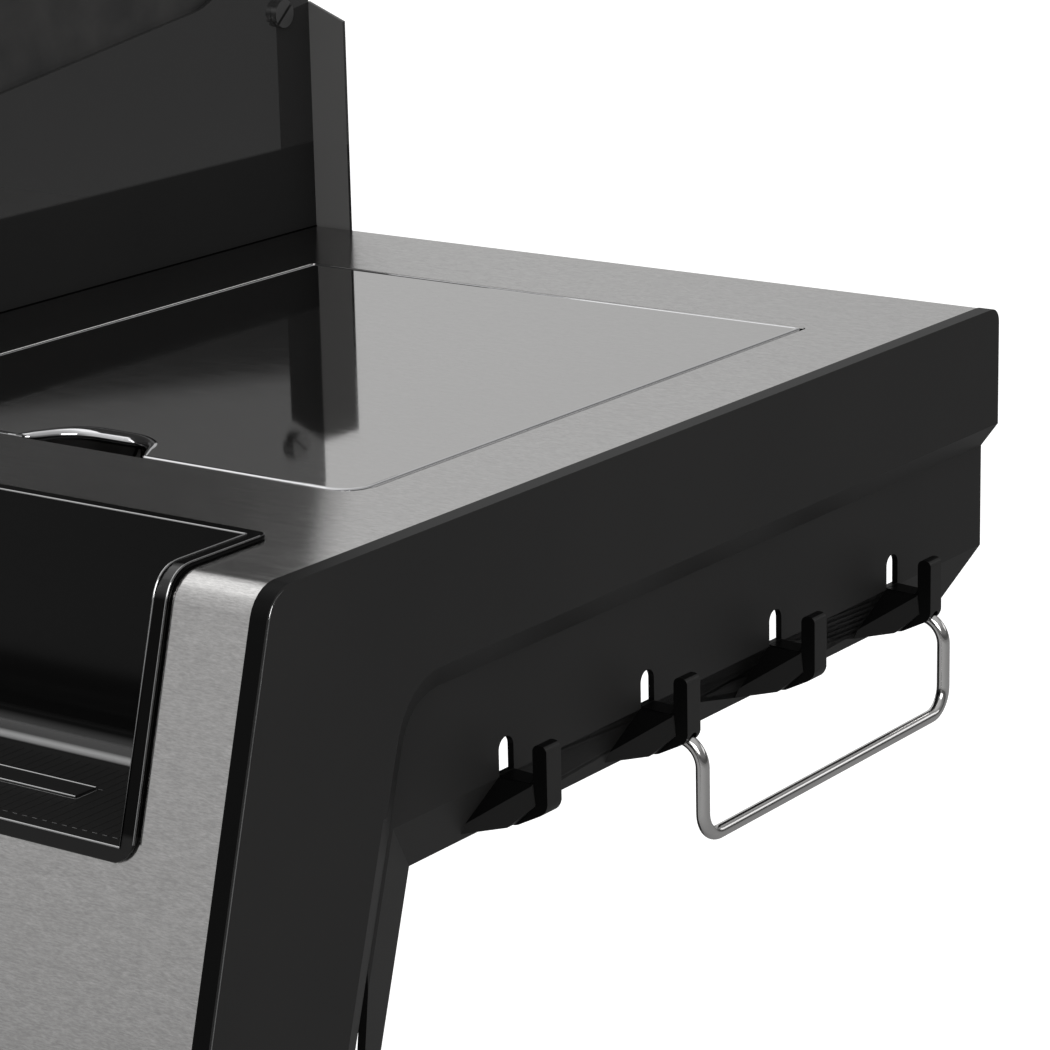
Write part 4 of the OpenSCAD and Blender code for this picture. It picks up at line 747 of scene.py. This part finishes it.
def add_bead(bm, path, wide, high=None, steps=12):
    """Sweeps an ellipse along a path in metres, with half widths in mm, level and upright, for each point."""
    high = high or wide
    rings = []
    last = len(path) - 1
    for i, point in enumerate(path):
        along = (path[min(i + 1, last)] - path[max(i - 1, 0)]).normalized()
        aside = along.cross(Vector((0, 0, 1)) if abs(along.z) < 0.7 else Vector((0, 1, 0)))
        if along.z <= -0.7:
            aside = -aside
        aside.normalize()
        upright = aside.cross(along)
        rings.append([])
        for k in range(steps):
            a = 2 * math.pi * k / steps
            offset = aside * math.cos(a) * wide[i] + upright * math.sin(a) * high[i]
            rings[-1].append(bm.verts.new(point + offset * MM))
    for one, other in zip(rings, rings[1:]):
        for k in range(steps):
            bm.faces.new((one[k], one[(k + 1) % steps], other[(k + 1) % steps], other[k]))
    bm.faces.new(rings[0][::-1])
    bm.faces.new(rings[-1])


def rounded(points, steps=8):
    """An open path of (a, b, corner radius) with its corners rounded."""
    path = [Vector(points[0][:2])]
    for before, here, after in zip(points, points[1:], points[2:]):
        corner = Vector(here[:2])
        u, v = (Vector(before[:2]) - corner).normalized(), (Vector(after[:2]) - corner).normalized()
        reach = here[2] / math.tan(u.angle(v) / 2)
        for i in range(steps + 1):
            t = i / steps
            path.append(corner + u * reach * (1 - t) ** 2 + v * reach * t ** 2)
    return path + [Vector(points[-1][:2])]


# Side burner lid: a bright folded hem round its edge, and a thicker rolled lip in the finger notch
LID_LEFT, LID_RIGHT, LID_REAR, LID_FRONT = 62.5, 352.0, -81.0, -418.0
NOTCH_MID = 208.5
NOTCH_HALF, NOTCH_FAR, NOTCH_DEEP, NOTCH_R = 34.0, 20.4, 20.0, 24.0
HEM, HEM_IN, HEM_PROUD = 1.2, 0.6, 0.35
FRONT_CORNER, REAR_CORNER = 14, 2

left, right = LID_LEFT + HEM_IN, LID_RIGHT - HEM_IN
rear, front = LID_REAR - HEM_IN, LID_FRONT + HEM_IN
outline = rounded([(NOTCH_MID + NOTCH_HALF, front, 0), (right, front, FRONT_CORNER),
                   (right, rear, REAR_CORNER), (left, rear, REAR_CORNER),
                   (left, front, FRONT_CORNER), (NOTCH_MID - NOTCH_HALF, front, 0)])
bm = bmesh.new()
add_bead(bm, [end_point(1, p.x, p.y, HEM_PROUD - HEM) for p in outline], [HEM] * len(outline))
from_bmesh("side_burner_lid_hem", bm, CHROME, "burner_lid", "chrome")
LIP_OUT, LIP_TOP = 3.2, 0.9
outline = rounded([(NOTCH_MID - NOTCH_HALF - 8, LID_FRONT + 0.4, 0),
                   (NOTCH_MID - NOTCH_HALF, LID_FRONT + 0.4, 8),
                   (NOTCH_MID - NOTCH_FAR, LID_FRONT + NOTCH_DEEP, NOTCH_R),
                   (NOTCH_MID + NOTCH_FAR, LID_FRONT + NOTCH_DEEP, NOTCH_R),
                   (NOTCH_MID + NOTCH_HALF, LID_FRONT, 0)], 12)
swell = [math.sin(math.pi * (i / (len(outline) - 1)) ** 1.4) ** 0.8 for i in range(len(outline))]
path = []
for i, p in enumerate(outline):
    along = (outline[min(i + 1, len(outline) - 1)] - outline[max(i - 1, 0)]).normalized()
    away = Vector((-along.y, along.x)) * LIP_OUT * swell[i]
    path.append(end_point(1, p.x + away.x, p.y + away.y, LIP_TOP * swell[i] + 0.3 - (0.9 + 2.2 * swell[i])))
bm = bmesh.new()
add_bead(bm, path, [0.9 + 3.6 * w for w in swell], [0.9 + 2.2 * w for w in swell], steps=32)
from_bmesh("side_burner_lid_notch_lip", bm, CHROME, "burner_lid", "chrome")

# Painted shade: thin black beads in the gaps between the firebox panels and the shelves, standing in for the
# shadow there
for side in BOTH:
    sign = 1 if side == "right" else -1
    bm = bmesh.new()
    add_bead(bm, [end_point(sign, 0.45, y, -0.3) for y in (-0.5, -180, -360, -526)], [0.5] * 4)
    from_bmesh("shelf_gap_shade_" + side, bm, GAP_SHADE, "grill", "wheel_rubber")


def front_edge(out, top, first, last, bend):
    """Y and Z of a line over the top and down the sloping front, raised by out, from first to last."""
    corner = -SHELF_D - out / math.cos(LEAN) + top * math.tan(LEAN)
    return rounded([(first, top, 0), (corner, top, bend), (corner + (last - top) * math.tan(LEAN), last, 0)])


# Bins: painted highlight lines, bright beads round the mouth, along the outer side edges and round the floor
# ridge, and fine ribs moulded into the floor
BIN_LEFT, BIN_RIGHT, BIN_REAR, BIN_FLOOR = 36.0, 365.0, -486.0, -99.5
RIM_W, RIM_T, BEND = 6.5, 2.0, 16.0
RIDGE_LEFT, RIDGE_RIGHT, RIDGE_REAR, RIDGE_FRONT, RIDGE_TOP = 92.5, 308.5, -529.5, -541.5, -98.3
RIDGE = rectangle(RIDGE_LEFT, RIDGE_REAR, RIDGE_RIGHT, RIDGE_FRONT)
RIBS, RIB_MARGIN, RIB_HALF = 62, 10, 1.2
RIB_FRONT, RIB_REAR, RIB_LOW, RIB_TOP = -566, -507, -99.6, -99.4
for side in BOTH:
    sign = 1 if side == "right" else -1
    inner = front_edge(RIM_T, RIM_T, BIN_REAR - RIM_W, BIN_FLOOR, BEND)
    loop = [end_point(sign, BIN_RIGHT - RIM_W, p.x, p.y) for p in inner]
    loop += [end_point(sign, BIN_LEFT + RIM_W, p.x, p.y) for p in inner[::-1]]
    # Painted highlight lines: bright beads on the rim's inner edge, the outer side edges and the floor ridge.
    bm = bmesh.new()
    add_bead(bm, loop + loop[:1], [0.5] * (len(loop) + 1), steps=10)
    outer = front_edge(RIM_T, RIM_T, BIN_REAR - 6, BIN_FLOOR + 2, BEND)
    for x in (BIN_LEFT + 0.3, BIN_RIGHT - 0.3):
        add_bead(bm, [end_point(sign, x, p.x, p.y) for p in outer], [0.42] * len(outer), steps=10)
    add_bead(bm, [end_point(sign, x, y, RIDGE_TOP - 0.15) for x, y in RIDGE + RIDGE[:1]], [0.4] * 5, steps=10)
    from_bmesh("bin_highlight_lines_" + side, bm, PAINTED_GLINT, "grill", "black_gloss")
    bm = bmesh.new()
    corner = Matrix.Translation(end_point(1, 0, 0, 0))
    for i in range(RIBS):
        x = BIN_LEFT + RIB_MARGIN + (BIN_RIGHT - BIN_LEFT - 2 * RIB_MARGIN) * i / (RIBS - 1)
        spans = [(RIB_FRONT, RIB_REAR)]
        if RIDGE_LEFT - 2 < x < RIDGE_RIGHT + 2:
            spans = [(RIB_FRONT, RIDGE_FRONT - 1), (RIDGE_REAR + 1, RIB_REAR)]
        for front, rear in spans:
            add_slab(bm, rectangle(x - RIB_HALF, front, x + RIB_HALF, rear), RIB_LOW, RIB_TOP, corner, 0.3)
    if sign < 0:
        bmesh.ops.scale(bm, vec=(-1, 1, 1), verts=bm.verts)
    from_bmesh("bin_floor_ribs_" + side, bm, BIN, "grill", "black_gloss")

# End caps: a painted highlight, a thin bright bead down the outer front edge
CAP_X, CAP_LINE, CAP_FOOT = 412.0, -0.2, -209
for side in BOTH:
    sign = 1 if side == "right" else -1
    line = front_edge(CAP_LINE, CAP_LINE, -SHELF_D + 14, CAP_FOOT, BEND - 2)
    line = [end_point(sign, CAP_X - 0.2, p.x, p.y) for p in line]
    bm = bmesh.new()
    add_bead(bm, line, [min(0.42, 0.1 + 0.04 * i) for i in range(len(line))], steps=10)
    from_bmesh("end_cap_highlight_line_" + side, bm, PAINTED_GLINT, "grill", "black_nylon")

# Handle ends, wheel nuts and hubs, caster bolts
HANDLE_HALF, HANDLE_R = 260, 12
NUT_OUT, DISC_OUT = 18.2, 11
DISC = [(12.2, 0), (13.6, 0.4), (26, 0.4), (28, 0.9), (28, 2.0), (27.2, 2.2), (14.6, 1.3), (12.2, 1.3),
        (12.2, 0)]
low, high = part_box("hood_handle")
for side in (-1, 1):
    bm = bmesh.new()
    end = Vector((side * HANDLE_HALF * MM, low.y + HANDLE_R * MM, high.z - HANDLE_R * MM))
    place = facing(end, (side, 0, 0))
    add_lathe(bm, [(0, -1), (11.6, -1), (11.6, 2.5), (10.8, 4.2), (7, 5.6), (0, 6)], place, 48)
    from_bmesh("handle_plug_" + ("left" if side < 0 else "right"), bm, DARK, "hood", "black_gloss", width=0.3)

for side in BOTH:
    for end in ("front", "rear"):
        low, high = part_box(f"wheel_{end}_{side}")
        middle = (low + high) / 2
        bm = bmesh.new()
        hub = bmesh.new()
        for out in (-1, 1):
            place = facing(middle + Vector((out * NUT_OUT * MM, 0, 0)), (out, 0, 0))
            add_slab(bm, polygon(8, 6), 0, 2.4, place)
            add_lathe(bm, [(4.4, 2.4), (4.4, 2.8), (3.6, 3.2), (0, 3.3)], place, 24)
            place = facing(middle + Vector((out * DISC_OUT * MM, 0, 0)), (out, 0, 0))
            add_lathe(hub, DISC, place, 64)
        from_bmesh(f"axle_nut_{end}_{side}", bm, ZINC, f"{end}_wheel_{side}", "zinc_steel", width=0.3)
        from_bmesh(f"wheel_disc_{end}_{side}", hub, DARK, f"{end}_wheel_{side}", "wheel_rubber", width=0.2)

PLATE, PLATE_T, BOLT_IN = 68, 4, 10
bm = bmesh.new()
low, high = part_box("caster_mounts")
for x in (low.x, high.x - PLATE * MM):
    for y in (low.y, high.y - PLATE * MM):
        for dx in (BOLT_IN, PLATE - BOLT_IN):
            for dy in (BOLT_IN, PLATE - BOLT_IN):
                place = facing(Vector((x + dx * MM, y + dy * MM, high.z - PLATE_T * MM)), (0, 0, -1))
                add_hex_bolt(bm, place, 8, 4.2)
from_bmesh("caster_bolts", bm, ZINC, "grill", "zinc_steel", width=0.3)

# Cart back: pressed louvres
LOUVRE_ROWS, LOUVRE_LOW, LOUVRE_PITCH = 9, 90, 34
LOUVRE_X, LOUVRE_W, LOUVRE_R = 150, 150, 6.5
low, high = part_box("cart_back")
bm = bmesh.new()
for column in (-1, 1):
    for row in range(LOUVRE_ROWS):
        z = low.z + (LOUVRE_LOW + LOUVRE_PITCH * row) * MM
        place = facing(Vector((column * LOUVRE_X * MM, high.y, z)), (0, 1, 0))
        add_slab(bm, [(y, x) for x, y in pill(LOUVRE_W, LOUVRE_R)][::-1], -0.4, 3.2, place, 2.4)
from_bmesh("cart_back_louvres", bm, PAINT, "grill", "black_paint", width=0.5)

# Light, floor and background

def ray_mix(tree, seen, unseen, *rays):
    """Shows one shader to the named rays, and another to the rest."""
    path = tree.nodes.new("ShaderNodeLightPath")
    total = path.outputs[rays[0]]
    for ray in rays[1:]:
        highest = tree.nodes.new("ShaderNodeMath")
        highest.operation = "MAXIMUM"
        tree.links.new(total, highest.inputs[0])
        tree.links.new(path.outputs[ray], highest.inputs[1])
        total = highest.outputs[0]
    mix = tree.nodes.new("ShaderNodeMixShader")
    tree.links.new(total, mix.inputs[0])
    tree.links.new(unseen.outputs[0], mix.inputs[1])
    tree.links.new(seen.outputs[0], mix.inputs[2])
    return mix


def build_world():
    """White to the camera, soft grey as light, and in reflections brightest overhead and dark to the right."""
    world = bpy.data.worlds.new("studio")
    world.use_nodes = True
    tree = world.node_tree
    white = tree.nodes["Background"]
    white.inputs["Color"].default_value = (1, 1, 1, 1)
    soft, mirrored = tree.nodes.new("ShaderNodeBackground"), tree.nodes.new("ShaderNodeBackground")
    soft.inputs["Strength"].default_value = 0.65
    for background in (soft, mirrored):
        background.inputs["Color"].default_value = (1, 1, 1, 1)
    where, split = tree.nodes.new("ShaderNodeTexCoord"), tree.nodes.new("ShaderNodeSeparateXYZ")
    tree.links.new(where.outputs["Generated"], split.inputs[0])
    total = None
    for axis, first, last, low, high in (("X", -0.62, 0.35, 0.38, -0.1), ("Z", 0.12, 0.34, 0.17, 0.27),
                                         ("Z", 0.45, 0.9, 0.0, 0.3)):
        ramp = tree.nodes.new("ShaderNodeMapRange")
        ramp.interpolation_type = "SMOOTHSTEP"
        for name, value in (("From Min", first), ("From Max", last), ("To Min", low), ("To Max", high)):
            ramp.inputs[name].default_value = value
        tree.links.new(split.outputs[axis], ramp.inputs["Value"])
        if total:
            add = tree.nodes.new("ShaderNodeMath")
            tree.links.new(total, add.inputs[0])
            tree.links.new(ramp.outputs["Result"], add.inputs[1])
        total = add.outputs[0] if total else ramp.outputs["Result"]
    tree.links.new(total, mirrored.inputs["Strength"])
    rest = ray_mix(tree, mirrored, soft, "Is Glossy Ray")
    every = ray_mix(tree, white, rest, "Is Camera Ray", "Is Transmission Ray")
    tree.links.new(every.outputs[0], tree.nodes["World Output"].inputs["Surface"])
    bpy.context.scene.world = world


def build_floor():
    """A wide pale floor that looks nearly white to the camera and keeps the object's shadow."""
    mesh = bpy.data.meshes.new("floor")
    half = 30
    corners = [(-half, -half, 0), (half, -half, 0), (half, half, 0), (-half, half, 0)]
    mesh.from_pydata(corners, [], [(0, 1, 2, 3)])
    floor = bpy.data.objects.new("floor", mesh)
    bpy.context.scene.collection.objects.link(floor)
    floor.location.z = -0.0005
    n = Nodes("pale floor")
    n.set(Base_Color=(0.95, 0.95, 0.95, 1), Roughness=0.9, Specular_IOR_Level=0.0)
    n.set(Emission_Color=(1, 1, 1, 1), Emission_Strength=0.5)
    grounds = [n.add("ShaderNodeBsdfDiffuse", Color=grey(value)) for value in (0.3, 0.6)]
    unseen = ray_mix(n.tree, *grounds, "Is Glossy Ray")
    mix = ray_mix(n.tree, n.shader, unseen, "Is Camera Ray", "Is Transmission Ray")
    n.link(mix.outputs[0], n.tree.nodes["Material Output"].inputs["Surface"])
    mesh.materials.append(n.material)
    floor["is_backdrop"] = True


def area_light(name, where, target, size, power, roll=0.0):
    """A rectangular soft lamp, its size in metres and its power in watts, rolled in degrees."""
    data = bpy.data.lights.new(name, "AREA")
    data.shape = "RECTANGLE"
    data.size, data.size_y = size
    data.energy = power
    lamp = bpy.data.objects.new(name, data)
    bpy.context.scene.collection.objects.link(lamp)
    lamp.location = where
    lamp.rotation_mode = "QUATERNION"
    aim = (Vector(target) - Vector(where)).to_track_quat("-Z", "Y")
    lamp.rotation_quaternion = aim @ Quaternion((0, 0, 1), math.radians(roll))


build_world()
build_floor()
area_light("front", (2.4, -3.6, 3.2), (0.2, 0, 0.6), (2.6, 2.2), 80)
area_light("left", (-3.6, -1.6, 2.6), (0, 0, 0.6), (2.4, 2.4), 40)
area_light("top", (-1.5, 0.1, 3.9), (0.5, 0, 0.9), (2.6, 2.6), 9)
area_light("rear right", (3.45, 4.21, 2.82), (0.55, 0.21, 0.47), (3.4, 1.3), 13, roll=-6.1)
bpy.context.scene.view_settings.view_transform = "Standard"

# Bounds of the shown objects, floor left out

low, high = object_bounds()
